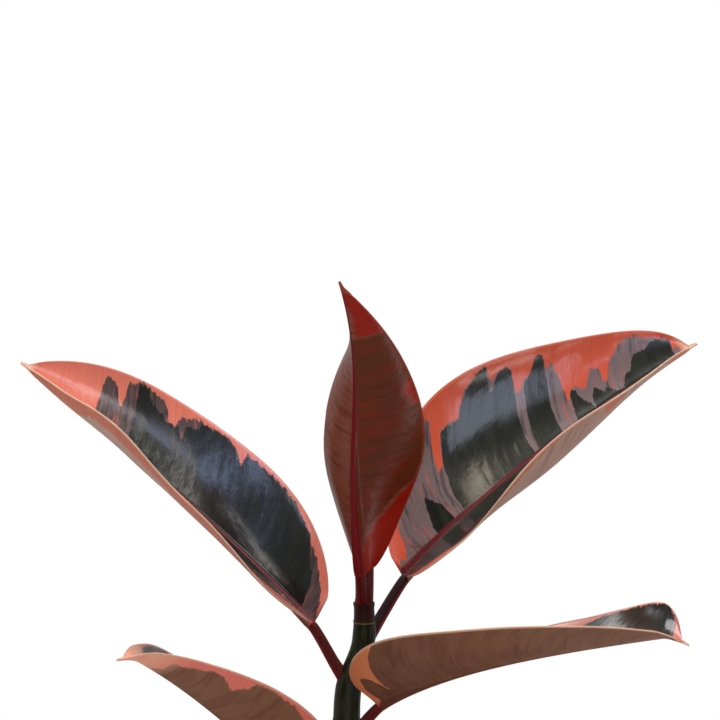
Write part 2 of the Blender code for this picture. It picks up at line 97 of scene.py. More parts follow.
# Settings of nodes: a Mix of two colours (inputs 6 and 7), and a MapRange (value, from, from, to, to) that
# starts and ends softly
IN_COLOUR = dict(data_type="RGBA")
SOFTLY = dict(interpolation_type="SMOOTHSTEP")


def add(tree, kind, inputs, **settings):
    """Add a shader node with its settings and its links."""
    node = tree.nodes.new("ShaderNode" + kind)
    for name, value in settings.items():
        setattr(node, name, value)
    feed(node, inputs)
    return node


def place_piece(built, name, material, node=None, sharp_degrees=35):
    """Make a bmesh a finished piece that rides with the plant and stands for its CAD node, if it has one."""
    mesh = bpy.data.meshes.new(name)
    built.to_mesh(mesh)
    built.free()
    mesh.shade_smooth()
    mesh.set_sharp_from_angle(angle=math.radians(sharp_degrees))
    mesh.materials.append(material)
    piece = bpy.data.objects.new(name, mesh)
    bpy.context.collection.objects.link(piece)
    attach(piece, "root")
    if node:
        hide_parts(node)
    return piece


def pot_inside(z):
    """Radius of the pot's inside at a height."""
    share = (z - POT_FLOOR) / (POT_HEIGHT - POT_FLOOR)
    return POT_FOOT_INSIDE + (COLLAR_RADIUS - POT_WALL - POT_FOOT_INSIDE) * share


def turned(profile, round_corners, radius, steps):
    """Turn a profile of (r, z) corners round the Z axis. The numbered corners are rounded first."""
    built = bmesh.new()
    row = [built.verts.new((r, 0.0, z)) for r, z in profile]
    for pair in zip(row, row[1:]):
        built.edges.new(pair)
    bmesh.ops.bevel(
        built,
        geom=[row[i] for i in round_corners],
        offset=radius,
        offset_type="OFFSET",
        segments=5,
        profile=0.5,
        affect="VERTICES",
        material=-1,
    )
    long_edges = [edge for edge in built.edges if edge.calc_length() > 2 * WALL_STEP]
    for edge in long_edges:
        cuts = int(edge.calc_length() / WALL_STEP)
        bmesh.ops.subdivide_edges(built, edges=[edge], cuts=cuts)
    bmesh.ops.spin(
        built,
        geom=built.verts[:] + built.edges[:],
        cent=(0, 0, 0),
        axis=(0, 0, 1),
        angle=math.tau,
        steps=steps,
        use_merge=True,
    )
    bmesh.ops.remove_doubles(built, verts=built.verts, dist=0.00001)
    bmesh.ops.recalc_face_normals(built, faces=built.faces)
    return built


collar_foot = POT_HEIGHT - COLLAR_HEIGHT
pot_profile = (
    (0.0, 0.0),
    (POT_BASE_RADIUS, 0.0),
    (POT_NECK_RADIUS, collar_foot),
    (COLLAR_RADIUS, collar_foot),
    (COLLAR_RADIUS, POT_HEIGHT),
    (pot_inside(POT_HEIGHT), POT_HEIGHT),
    (pot_inside(POT_FLOOR), POT_FLOOR),
    (0.0, POT_FLOOR),
)
built_pot = turned(pot_profile, (1, 3, 4, 5), POT_EDGE, POT_STEPS)
for vert in built_pot.verts:
    radius = vert.co.xy.length
    if radius > POT_BASE_RADIUS * 0.97 and vert.co.z > POT_EDGE:
        vert.co.xy *= 1 + noise.noise(vert.co * WAVERS_PER_METRE) * WALL_WAVER / radius
for number in range(DRAIN_HOLES):
    turn = math.tau * (number + 0.5) / DRAIN_HOLES
    middle = Vector((DRAIN_CIRCLE * math.cos(turn), DRAIN_CIRCLE * math.sin(turn), 0.0))
    # Each hole is cut by removing the floor's faces there and bridging the two round openings
    for height in (0.0, POT_FLOOR):
        near = [
            face
            for face in built_pot.faces
            if abs(face.calc_center_median().z - height) < 0.0005
            and (face.calc_center_median().xy - middle.xy).length < DRAIN_RADIUS
        ]
        bmesh.ops.delete(built_pot, geom=near, context="FACES")
    rims = [edge for edge in built_pot.edges if edge.is_boundary]
    bmesh.ops.bridge_loops(built_pot, edges=rims)
    for edge in rims:
        for vert in edge.verts:
            away = vert.co.xy - middle.xy
            vert.co.xy = middle.xy + away.normalized() * DRAIN_RADIUS
bmesh.ops.recalc_face_normals(built_pot, faces=built_pot.faces)

# Terracotta: matte, warm orange-brown, with fine sandy grain, faint lines from turning, and a pale bloom
# of salts that watering leaves near the mouth and the foot.
terracotta, tree, shader = new_material("terracotta", Roughness=0.86, IOR=1.45, Specular_IOR_Level=0.35)
CLAY_BASE = linear("#B4684A")
CLAY_DEEP = linear("#96502F")
CLAY_BLOOM = linear("#D9B49C")
GRAIN = 0.6 * MM
CLOUD = 28 * MM
BLOOM_PATCH = 16 * MM
TURNING_LINES = 1.6 * MM
# Heights where the bloom starts and where it is full
BLOOM_AT_MOUTH = {1: 0.085, 2: 0.128}
BLOOM_AT_FOOT = {1: 0.022, 2: 0.0}
where = add(tree, "TexCoord", {}).outputs["Object"]
cloud = add(tree, "TexNoise", {"Vector": where, "Scale": 1 / CLOUD, "Detail": 4.0, "Roughness": 0.6})
grain = add(tree, "TexNoise", {"Vector": where, "Scale": 1 / GRAIN, "Detail": 2.0})
lines_at = add(tree, "Mapping", {"Vector": where, "Scale": (8.0, 8.0, 1 / TURNING_LINES)})
lines = add(tree, "TexNoise", {"Vector": lines_at, "Scale": 1.0, "Detail": 2.0})
clouded = add(tree, "MapRange", {0: cloud, 1: 0.35, 2: 0.65})
body = add(tree, "Mix", {0: clouded, 6: CLAY_DEEP, 7: CLAY_BASE}, **IN_COLOUR)
height_at = add(tree, "SeparateXYZ", {0: where}).outputs["Z"]
near_mouth = add(tree, "MapRange", {0: height_at, **BLOOM_AT_MOUTH})
near_foot = add(tree, "MapRange", {0: height_at, **BLOOM_AT_FOOT, 4: 0.7})
near_ends = add(tree, "Math", {0: near_mouth, 1: near_foot}, operation="MAXIMUM")
patches = add(tree, "TexNoise", {"Vector": where, "Scale": 1 / BLOOM_PATCH, "Detail": 5.0, "Roughness": 0.7})
patchy = add(tree, "MapRange", {0: patches, 1: 0.46, 2: 0.72}, **SOFTLY)
bloom = add(tree, "Math", {0: patchy, 1: near_ends}, operation="MULTIPLY")
bloomed = add(tree, "Mix", {0: bloom, 6: body, 7: CLAY_BLOOM}, **IN_COLOUR)
speckle = add(tree, "MapRange", {0: grain, 1: 0.3, 2: 0.7, 3: 0.88, 4: 1.1})
speckled = add(tree, "VectorMath", {0: bloomed, "Scale": speckle}, operation="SCALE")
relief = add(tree, "Math", {0: lines, 1: 0.7, 2: grain}, operation="MULTIPLY_ADD")
bumped = add(tree, "Bump", {"Height": relief, "Strength": 0.35, "Distance": 0.25 * MM})
feed(shader, {"Base Color": speckled, "Normal": bumped})
place_piece(built_pot, "clay_pot", terracotta, "pot")

# Soil
# Loose potting mix of peat and composted bark that fills the pot to just below its mouth, heaped a little
# round the stem. Bark chips, peat crumbs and white perlite grains lie half sunk in it.
SOIL_LEVEL = 0.116
SOIL_MOUND = 0.0025
SOIL_GAP = 0.0003
SOIL_HOLE = 0.0078
SOIL_FOOT = 0.060
SOIL_RINGS = 46
SOIL_STEPS = 120
SOIL_LUMP = 6.0 * MM
SOIL_LUMP_HEIGHT = 0.78 * MM
# Share in size of each finer lump, and how many sizes of lump there are
SOIL_LUMP_SHARES = (1.0, 2.2, 4)
# The lumps fade out over this distance from the hole
SOIL_FLAT = 0.004


def soil_top(x, y):
    """Height of the soil's surface at a place."""
    radius = math.hypot(x, y)
    share = min(max((pot_inside(SOIL_LEVEL) - radius) / pot_inside(SOIL_LEVEL), 0.0), 1.0)
    lump = noise.fractal(Vector((x / SOIL_LUMP, y / SOIL_LUMP, 3.7)), *SOIL_LUMP_SHARES)
    fade = min(max((radius - SOIL_HOLE) / SOIL_FLAT, 0.0), 1.0)
    return SOIL_LEVEL + SOIL_MOUND * math.sin(math.pi * share / 2) + lump * SOIL_LUMP_HEIGHT * fade


soil_edge = pot_inside(SOIL_LEVEL) - SOIL_GAP
soil_floor = POT_FLOOR + SOIL_GAP
soil_profile = [(0.0, soil_floor), (pot_inside(soil_floor) - SOIL_GAP, soil_floor), (soil_edge, SOIL_LEVEL)]
for i in range(1, SOIL_RINGS):
    soil_profile.append((soil_edge + (SOIL_HOLE - soil_edge) * i / SOIL_RINGS, SOIL_LEVEL + SOIL_MOUND))
soil_profile += [(SOIL_HOLE, SOIL_LEVEL + SOIL_MOUND), (SOIL_HOLE, SOIL_FOOT), (0.0, SOIL_FOOT)]
built_soil = turned(soil_profile, (1,), POT_EDGE, SOIL_STEPS)
for vert in built_soil.verts:
    if vert.co.z > SOIL_LEVEL - 0.0001:
        vert.co.z = soil_top(vert.co.x, vert.co.y)

# Peat: nearly black-brown, fully matte and crumbly, with paler fibres in it.
peat, tree, shader = new_material("potting_peat", Roughness=0.95, IOR=1.4, Specular_IOR_Level=0.25)
PEAT_DARK = linear("#241A13")
PEAT_PALE = linear("#5A4331")
CRUMB = 2.2 * MM
FIBRES = (1 / (0.5 * MM), 1 / (3 * MM), 300.0)
where = add(tree, "TexCoord", {}).outputs["Object"]
crumbs = add(tree, "TexVoronoi", {"Vector": where, "Scale": 1 / CRUMB, "Randomness": 1.0})
fibres_at = add(tree, "Mapping", {"Vector": where, "Scale": FIBRES, "Rotation": (0, 0, 0.6)})
fibres = add(tree, "TexNoise", {"Vector": fibres_at, "Scale": 1.0, "Detail": 3.0})
pale = add(tree, "MapRange", {0: fibres, 1: 0.50, 2: 0.74})
toned = add(tree, "Mix", {0: pale, 6: PEAT_DARK, 7: PEAT_PALE}, **IN_COLOUR)
relief = add(tree, "Math", {0: crumbs, 1: 0.8, 2: fibres}, operation="MULTIPLY_ADD")
bumped = add(tree, "Bump", {"Height": relief, "Strength": 0.8, "Distance": 0.8 * MM})
feed(shader, {"Base Color": toned, "Normal": bumped})
place_piece(built_soil, "potting_soil", peat, "soil")

# Bark: split along its grain, dark red-brown to tan, matte.
bark, tree, shader = new_material("composted_bark", Roughness=0.85, IOR=1.45, Specular_IOR_Level=0.3)
BARK_DARK = linear("#3A2418")
BARK_TAN = linear("#8A6243")
CHIP = 9 * MM
STRANDS = (1 / (0.7 * MM), 1 / (4 * MM), 900.0)
where = add(tree, "TexCoord", {}).outputs["Object"]
chips = add(tree, "TexNoise", {"Vector": where, "Scale": 1 / CHIP, "Detail": 1.0})
strands_at = add(tree, "Mapping", {"Vector": where, "Scale": STRANDS})
strands = add(tree, "TexNoise", {"Vector": strands_at, "Scale": 1.0, "Detail": 3.0})
mixed = add(tree, "Math", {0: strands, 1: 0.5, 2: chips}, operation="MULTIPLY_ADD")
tan = add(tree, "MapRange", {0: mixed, 1: 0.62, 2: 0.92})
toned = add(tree, "Mix", {0: tan, 6: BARK_DARK, 7: BARK_TAN}, **IN_COLOUR)
bumped = add(tree, "Bump", {"Height": strands, "Strength": 0.6, "Distance": 0.3 * MM})
feed(shader, {"Base Color": toned, "Normal": bumped})

# Perlite: puffed volcanic glass, chalk white and matte with small pores.
perlite, tree, shader = new_material("perlite", Roughness=0.9, IOR=1.45)
PERLITE_WHITE = linear("#E6E1D6")
PERLITE_SHADE = linear("#A89F8F")
PERLITE_PORE = 0.7 * MM
where = add(tree, "TexCoord", {}).outputs["Object"]
pores = add(tree, "TexVoronoi", {"Vector": where, "Scale": 1 / PERLITE_PORE})
toned = add(tree, "Mix", {0: pores, 6: PERLITE_SHADE, 7: PERLITE_WHITE}, **IN_COLOUR)
bumped = add(tree, "Bump", {"Height": pores, "Strength": 0.6, "Distance": 0.2 * MM})
feed(shader, {"Base Color": toned, "Normal": bumped})

# Each kind of grain: name, how many, smallest and largest length, flatness, material
GRAINS = (
    ("bark_chips", 210, 3.5 * MM, 9.0 * MM, 0.32, bark),
    ("peat_crumbs", 420, 1.4 * MM, 3.4 * MM, 0.75, peat),
    ("perlite_grains", 70, 1.5 * MM, 3.2 * MM, 0.85, perlite),
)
# How far grains keep from the wall and the stem, in metres, and how they lie, as shares and radians
GRAIN_CLEAR = 0.004
GRAIN_LIFT = 0.12
GRAIN_TILT = 0.22
GRAIN_WIDTHS = (0.45, 0.8)
GRAIN_LUMPS = (0.75, 1.2)
scatter = random.Random(11)
for grain_name, count, smallest, largest, flatness, grain_material in GRAINS:
    built = bmesh.new()
    for _ in range(count):
        reach = math.sqrt(scatter.random()) * (soil_edge - GRAIN_CLEAR)
        reach = max(reach, SOIL_HOLE + GRAIN_CLEAR)
        turn = scatter.uniform(0, math.tau)
        length = scatter.uniform(smallest, largest)
        x = reach * math.cos(turn)
        y = reach * math.sin(turn)
        lie = Matrix.Rotation(scatter.gauss(0, GRAIN_TILT), 4, "X")
        lie = lie @ Matrix.Rotation(scatter.gauss(0, GRAIN_TILT), 4, "Y")
        lie = lie @ Matrix.Rotation(scatter.uniform(0, math.tau), 4, "Z")
        size = Matrix.Diagonal((length, length * scatter.uniform(*GRAIN_WIDTHS), length * flatness, 1.0))
        spot = Matrix.Translation((x, y, soil_top(x, y) + length * flatness * GRAIN_LIFT))
        made = bmesh.ops.create_icosphere(built, subdivisions=1, radius=0.5, matrix=Matrix())
        for vert in made["verts"]:
            vert.co *= scatter.uniform(*GRAIN_LUMPS)
        bmesh.ops.transform(built, matrix=spot @ lie @ size, verts=made["verts"])
    place_piece(built, grain_name, grain_material, sharp_degrees=25)

# Stem
# The plant's single upright stem, green wood under a smooth bark that turns grey-brown low down. Each leaf
# leaves a swelling, and above each stalk a fine ring where the bud's sheath fell off. It stands in the soil.
STEM_POINTS = (
    (0.0000, 0.0000, 0.060, 0.0075),
    (0.0000, 0.0000, 0.120, 0.0074),
    (-0.0010, 0.0010, 0.150, 0.0071),
    (-0.0030, -0.0005, 0.180, 0.0069),
    (-0.0050, 0.0010, 0.205, 0.0067),
    (-0.0065, 0.0000, 0.235, 0.0064),
    (-0.0062, 0.0000, 0.262, 0.0062),
    (-0.0052, 0.0000, 0.280, 0.0060),
    (-0.0020, 0.0000, 0.290, 0.0058),
    (0.0012, 0.0000, 0.300, 0.0053),
    (0.0020, 0.0000, 0.308, 0.0050),
    (0.0018, 0.0000, 0.320, 0.0045),
)
STEM_TOP = STEM_POINTS[-1][2]
# Height and bearing (degrees from +X towards +Y) of the leaf stalks
STALKS = {
    "leaf_upper_right": (0.306, 40),
    "leaf_upper_left": (0.287, 180),
    "leaf_mid_right": (0.260, -40),
    "leaf_mid_left": (0.222, 220),
    "leaf_low_right": (0.204, 0),
    "leaf_low_back_left": (0.186, 135),
    "leaf_low_front": (0.168, -85),
    "leaf_low_back_right": (0.152, 50),
    "leaf_low_left": (0.138, 190),
}
SCAR_ABOVE_STALK = 5.1 * MM
SCAR_HALF_HEIGHT = 0.7 * MM
SCAR_RAISE = 0.35 * MM
SCAR_OPENING = (45, 70)
NODE_SWELL = 0.35 * MM
NODE_REACH = 4.0 * MM
NODE_SWELL_BEHIND = 0.4
STEM_ROUND = 56
STEM_RINGS = 330
COLLAR_BELOW_TOP = 0.4 * MM
COLLAR_HALF_HEIGHT = 1.2 * MM
COLLAR_RAISE = 0.45 * MM
# The bark is green above the upper height and woody below the lower one. Its ridges are as many round the
# stem, as many in a metre of height, and as high on green and more on woody bark.
GREEN_ABOVE = 0.26
WOODY_BELOW = 0.14
BARK_RIDGES = ((2.2, 22, 0.10 * MM, 0.22 * MM), (7, 40, 0.04 * MM, 0.14 * MM))


def stem_slope(i, k):
    """How fast the stem's value k changes with height at its point i."""
    before = STEM_POINTS[max(i - 1, 0)]
    after = STEM_POINTS[min(i + 1, len(STEM_POINTS) - 1)]
    return (after[k] - before[k]) / (after[2] - before[2])


def stem_at(z):
    """Middle (x, y) and radius of the stem at height z, on a smooth curve through its points."""
    points = STEM_POINTS
    z = min(max(z, points[0][2]), points[-1][2])
    i = 0
    while i < len(points) - 2 and z > points[i + 1][2]:
        i += 1
    span = points[i + 1][2] - points[i][2]
    t = (z - points[i][2]) / span
    found = []
    for k in (0, 1, 3):
        value = points[i][k] * (1 + 2 * t) * (1 - t) ** 2 + stem_slope(i, k) * span * t * (1 - t) ** 2
        value += points[i + 1][k] * t * t * (3 - 2 * t) + stem_slope(i + 1, k) * span * t * t * (t - 1)
        found.append(value)
    return found


def stem_relief(z, bearing):
    """How far the bark stands out: ring scars, the swelling at each node and fine lengthwise ridges."""
    raised = 0.0
    start, full = SCAR_OPENING
    for height, stalk_bearing in STALKS.values():
        turn_away = abs((bearing - stalk_bearing + 180) % 360 - 180)
        open_share = min(max((turn_away - start) / (full - start), 0.0), 1.0)
        scar = abs(z - height - SCAR_ABOVE_STALK) / SCAR_HALF_HEIGHT
        raised += SCAR_RAISE * open_share * math.exp(-scar * scar * 2)
        swell = (z - height) / NODE_REACH
        facing = max(math.cos(math.radians(turn_away)), 0.0)
        facing = NODE_SWELL_BEHIND + (1 - NODE_SWELL_BEHIND) * facing
        raised += NODE_SWELL * facing * math.exp(-swell * swell)
    angle = math.radians(bearing)
    woody = min(max((GREEN_ABOVE - z) / (GREEN_ABOVE - WOODY_BELOW), 0.0), 1.0)
    for around, upward, on_green, more_on_woody in BARK_RIDGES:
        spot = Vector((math.cos(angle) * around, math.sin(angle) * around, z * upward))
        raised += noise.noise(spot) * (on_green + more_on_woody * woody)
    return raised


def rolled_tube(around, along, place, values=()):
    """A sheet rolled into a closed tube. place gives, for a step round and a step along, a point and values.

    The values are kept in the mesh as attributes with the given names, three numbers each.
    """
    built = bmesh.new()
    layers = [built.verts.layers.float_vector.new(name) for name in values]
    bmesh.ops.create_grid(built, x_segments=around, y_segments=along, size=0.5)
    for vert in built.verts:
        point, *kept = place(round((vert.co.x + 0.5) * around) % around, round((vert.co.y + 0.5) * along))
        vert.co = point
        for layer, value in zip(layers, kept):
            vert[layer] = value
    bmesh.ops.remove_doubles(built, verts=built.verts, dist=0.000001)
    open_ends = [edge for edge in built.edges if edge.is_boundary]
    caps = bmesh.ops.holes_fill(built, edges=open_ends, sides=0)["faces"]
    bmesh.ops.poke(built, faces=caps)
    bmesh.ops.recalc_face_normals(built, faces=built.faces)
    return built


def stem_place(step_round, step_along):
    """Where a vertex of the stem's bark lies."""
    z = SOIL_FOOT + (STEM_TOP - SOIL_FOOT) * step_along / STEM_RINGS
    angle = math.tau * step_round / STEM_ROUND
    x, y, radius = stem_at(z)
    reach = radius + stem_relief(z, math.degrees(angle)) if z > SOIL_LEVEL - 0.001 else radius
    above = (z - (STEM_TOP - COLLAR_BELOW_TOP)) / COLLAR_HALF_HEIGHT
    reach += COLLAR_RAISE * math.exp(-above * above)
    return (Vector((x + reach * math.cos(angle), y + reach * math.sin(angle), z)),)


built_stem = rolled_tube(STEM_ROUND, STEM_RINGS, stem_place)

# Young bark: dark olive green and satin, grey-brown and dull where it is older, dotted with small pale
# pores. The youngest joint above the last ring is a deep red-brown.
young_bark, tree, shader = new_material("young_bark", IOR=1.45, Specular_IOR_Level=0.35)
BARK_OLIVE = linear("#32361A")
BARK_OLIVE_DARK = linear("#101207")
BARK_GREY = linear("#6A5B47")
BARK_PORE = linear("#8E8366")
BARK_RING = linear("#6E6A34")
JOINT_RED = linear("#34100A")
BARK_STREAKS = (1 / (2 * MM), 1 / (2 * MM), 1 / (14 * MM))
PORE_SPACING = 2.6 * MM
RING_HEIGHT = 0.3111
RING_HALF_HEIGHT = 0.35 * MM
where = add(tree, "TexCoord", {}).outputs["Object"]
height_at = add(tree, "SeparateXYZ", {0: where}).outputs["Z"]
streaks_at = add(tree, "Mapping", {"Vector": where, "Scale": BARK_STREAKS})
streaks = add(tree, "TexNoise", {"Vector": streaks_at, "Scale": 1.0, "Detail": 3.0})
pores = add(tree, "TexVoronoi", {"Vector": where, "Scale": 1 / PORE_SPACING, "Randomness": 1.0})
mottle = add(tree, "MapRange", {0: streaks, 1: 0.36, 2: 0.66})
green = add(tree, "Mix", {0: mottle, 6: BARK_OLIVE_DARK, 7: BARK_OLIVE}, **IN_COLOUR)
aged = add(tree, "Math", {0: streaks, 1: 0.10, 2: height_at}, operation="MULTIPLY_ADD")
woody = add(tree, "MapRange", {0: aged, 1: 0.27, 2: 0.17}, **SOFTLY)
barked = add(tree, "Mix", {0: woody, 6: green, 7: BARK_GREY}, **IN_COLOUR)
spots = add(tree, "MapRange", {0: pores, 1: 0.20, 2: 0.12, 4: 0.7})
spots = add(tree, "Math", {0: spots, 1: woody}, operation="MULTIPLY")
spotted = add(tree, "Mix", {0: spots, 6: barked, 7: BARK_PORE}, **IN_COLOUR)
in_ring = add(tree, "Math", {0: height_at, 1: RING_HEIGHT, 2: RING_HALF_HEIGHT}, operation="COMPARE")
ringed = add(tree, "Mix", {0: in_ring, 6: spotted, 7: BARK_RING}, **IN_COLOUR)
ring_top = RING_HEIGHT + RING_HALF_HEIGHT
in_joint = add(tree, "MapRange", {0: height_at, 1: ring_top, 2: ring_top + RING_HALF_HEIGHT})
jointed = add(tree, "Mix", {0: in_joint, 6: ringed, 7: JOINT_RED}, **IN_COLOUR)
dullness = add(tree, "MapRange", {0: woody, 3: 0.42, 4: 0.78})
bumped = add(tree, "Bump", {"Height": streaks, "Strength": 0.3, "Distance": 0.3 * MM})
feed(shader, {"Base Color": jointed, "Roughness": dullness, "Normal": bumped})
place_piece(built_stem, "stem_bark", young_bark, "stem", sharp_degrees=60)

# Bud sheath
# The slim pointed cap that holds the next leaf rolled up, beside the youngest leaf's stalk. It grew from
# the stem's top.
SHEATH_FOOT = (0.0042, 0.0026)
SHEATH_TIP = (0.0040, 0.0045, 0.366)
SHEATH_RADIUS = 1.9 * MM
SHEATH_SWELL = 0.20
SHEATH_TIP_SHARE = 0.04
# The seam's bearing at the foot, its turn up to the tip and its half width, in radians, and its depth
SEAM_BEARING = 4.4
SEAM_TURN = 1.5
SEAM_HALF_WIDTH = 0.25
SEAM_DEPTH = 0.12
SHEATH_ROUND = 28
SHEATH_RINGS = 48


def sheath_place(step_round, step_along):
    """Where a vertex of the sheath lies: a drop shape with a shallow seam along it."""
    share = step_along / SHEATH_RINGS
    middle = Vector((*SHEATH_FOOT, STEM_TOP)).lerp(Vector(SHEATH_TIP), share)
    angle = math.tau * step_round / SHEATH_ROUND
    radius = SHEATH_RADIUS * (1 + SHEATH_SWELL * math.sin(math.pi * share))
    radius *= max(1 - share ** 3, SHEATH_TIP_SHARE)
    radius *= 1 - SEAM_DEPTH * math.exp(-((angle - SEAM_BEARING - share * SEAM_TURN) / SEAM_HALF_WIDTH) ** 2)
    return (middle + Vector((radius * math.cos(angle), radius * math.sin(angle), 0.0)),)


# Bud sheath skin: thin, satin, deep wine red with paler lengthwise lines.
sheath_skin, tree, shader = new_material("sheath_skin", Roughness=0.38, IOR=1.45)
SHEATH_WINE = linear("#3A0D0C")
SHEATH_RED = linear("#8A2A20")
SHEATH_LINES = (1 / (0.5 * MM), 1 / (0.5 * MM), 1 / (16 * MM))
where = add(tree, "TexCoord", {}).outputs["Object"]
lines_at = add(tree, "Mapping", {"Vector": where, "Scale": SHEATH_LINES})
lines = add(tree, "TexNoise", {"Vector": lines_at, "Scale": 1.0, "Detail": 2.0})
toned = add(tree, "Mix", {0: lines, 6: SHEATH_WINE, 7: SHEATH_RED}, **IN_COLOUR)
bumped = add(tree, "Bump", {"Height": lines, "Strength": 0.3, "Distance": 0.1 * MM})
feed(shader, {"Base Color": toned, "Normal": bumped})
built_sheath = rolled_tube(SHEATH_ROUND, SHEATH_RINGS, sheath_place)
place_piece(built_sheath, "bud_cap", sheath_skin, "bud_sheath")

# Leaves
# Ten leathery leaves, each on its own round stalk. A leaf is one growth: stalk, midrib and blade, with a
# waxy upper side, a satin underside, a rib that stands out below and a fine pale edge.
STALK_ROOT_RADIUS = 2.8 * MM
STALK_RADIUS = 2.4 * MM
STALK_BEND = 0.16
STALK_CLEAR = 0.30
STALK_FLARE = 0.12
STALK_FLARE_SHARE = 0.12
# How far off the plain stem a stalk's root ends, which is inside the swelling of the bark at its node
ROOT_OFF_STEM = 0.1 * MM
BLADE_THICKNESS = 0.9 * MM
MARGIN_THICKNESS = 0.7 * MM
RIB_HALF_WIDTH = 2.4 * MM
RIB_NARROWING = 0.5
RIB_FADE = 3.0
RIDGE_WIDTH = 1.15
RIDGE_POWER = 1.2
BODY_SHARE = 0.98
TAIL_HALF_WIDTH = 3.0 * MM
TIP_HALF_WIDTH = 0.5 * MM
TAIL_TAPER = 0.045
DROOP_START = 0.93
FLATTEN_BY = 0.018
# Columns of the mesh: close together on the rib, then even out to the margin, then round the edge
RIB_COLUMNS = (0.12, 0.26, 0.42, 0.60, 0.80)
RIB_MOST_SHARE = 0.4
BLADE_COLUMNS = 23
EDGE_ANGLES = (45, 90, 135)
STALK_ROWS = 26
BLADE_ROWS = 172
# Relief of the blade: the groove over the rib, the quilting between side veins and slow waves
GROOVE_DEPTH = 0.30 * MM
GROOVE_HALF_WIDTH = 0.8 * MM
GROOVE_END_SHARE = 0.25
VEIN_SPACING = 5.5 * MM
VEIN_WANDER = 2.5
VEIN_WANDERS_PER_METRE = (70, 45)
QUILT_HEIGHT = 0.012 * MM
QUILT_FROM_RIB = 6 * MM
QUILT_FROM_EDGE = 4 * MM
QUILT_AT_EDGE = 0.15
BUCKLE_LENGTH = 22 * MM
BUCKLE_HEIGHT = 0.35 * MM
BUCKLE_FROM_RIB = 12 * MM
WAVE_WHERE_NARROW = 1.5
# Side veins leave the rib and lean towards the tip, by these shares and this bend
VEIN_LEAN_FOOT = 0.05
VEIN_LEAN_TIP = 0.25
VEIN_BEND = 8.0

# What holds for a leaf that says nothing else. rise is the stalk's angle at the stem in degrees, widest is
# where along the rib the blade is widest, and round_foot and round_tip say how pointed its ends are. fill is
# how full the outline is, and a wave of the margin has a height, a number of waves and a start. midrib is how
# much wider its line is at the foot, tail is where the pale tip starts and is full, and paleness is that of
# the right and the left edge.
LEAF_DEFAULTS = dict(
    rise=42,
    half_width=0.046,
    widest=0.46,
    round_foot=0.45,
    round_tip=0.75,
    right_share=1.0,
    left_fill=(1.0, 1.0, 1.0),
    right_fill=(1.0, 1.0, 1.0),
    fold=(8, 8, 8),
    droop=0.004,
    left_wave=(0.0, 1.0, 0.0),
    right_wave=(0.0, 1.0, 0.0),
    palette="grown",
    colours={},
    streaks=0.06,
    softness=0.3,
    midrib=0.5 * MM,
    tail=(0.955, 0.975),
    paleness=(1.0, 1.0),
    under_roughness=0.50,
    under_coat=0.03,
    specular=0.25,
    relief=0.045 * MM,
)

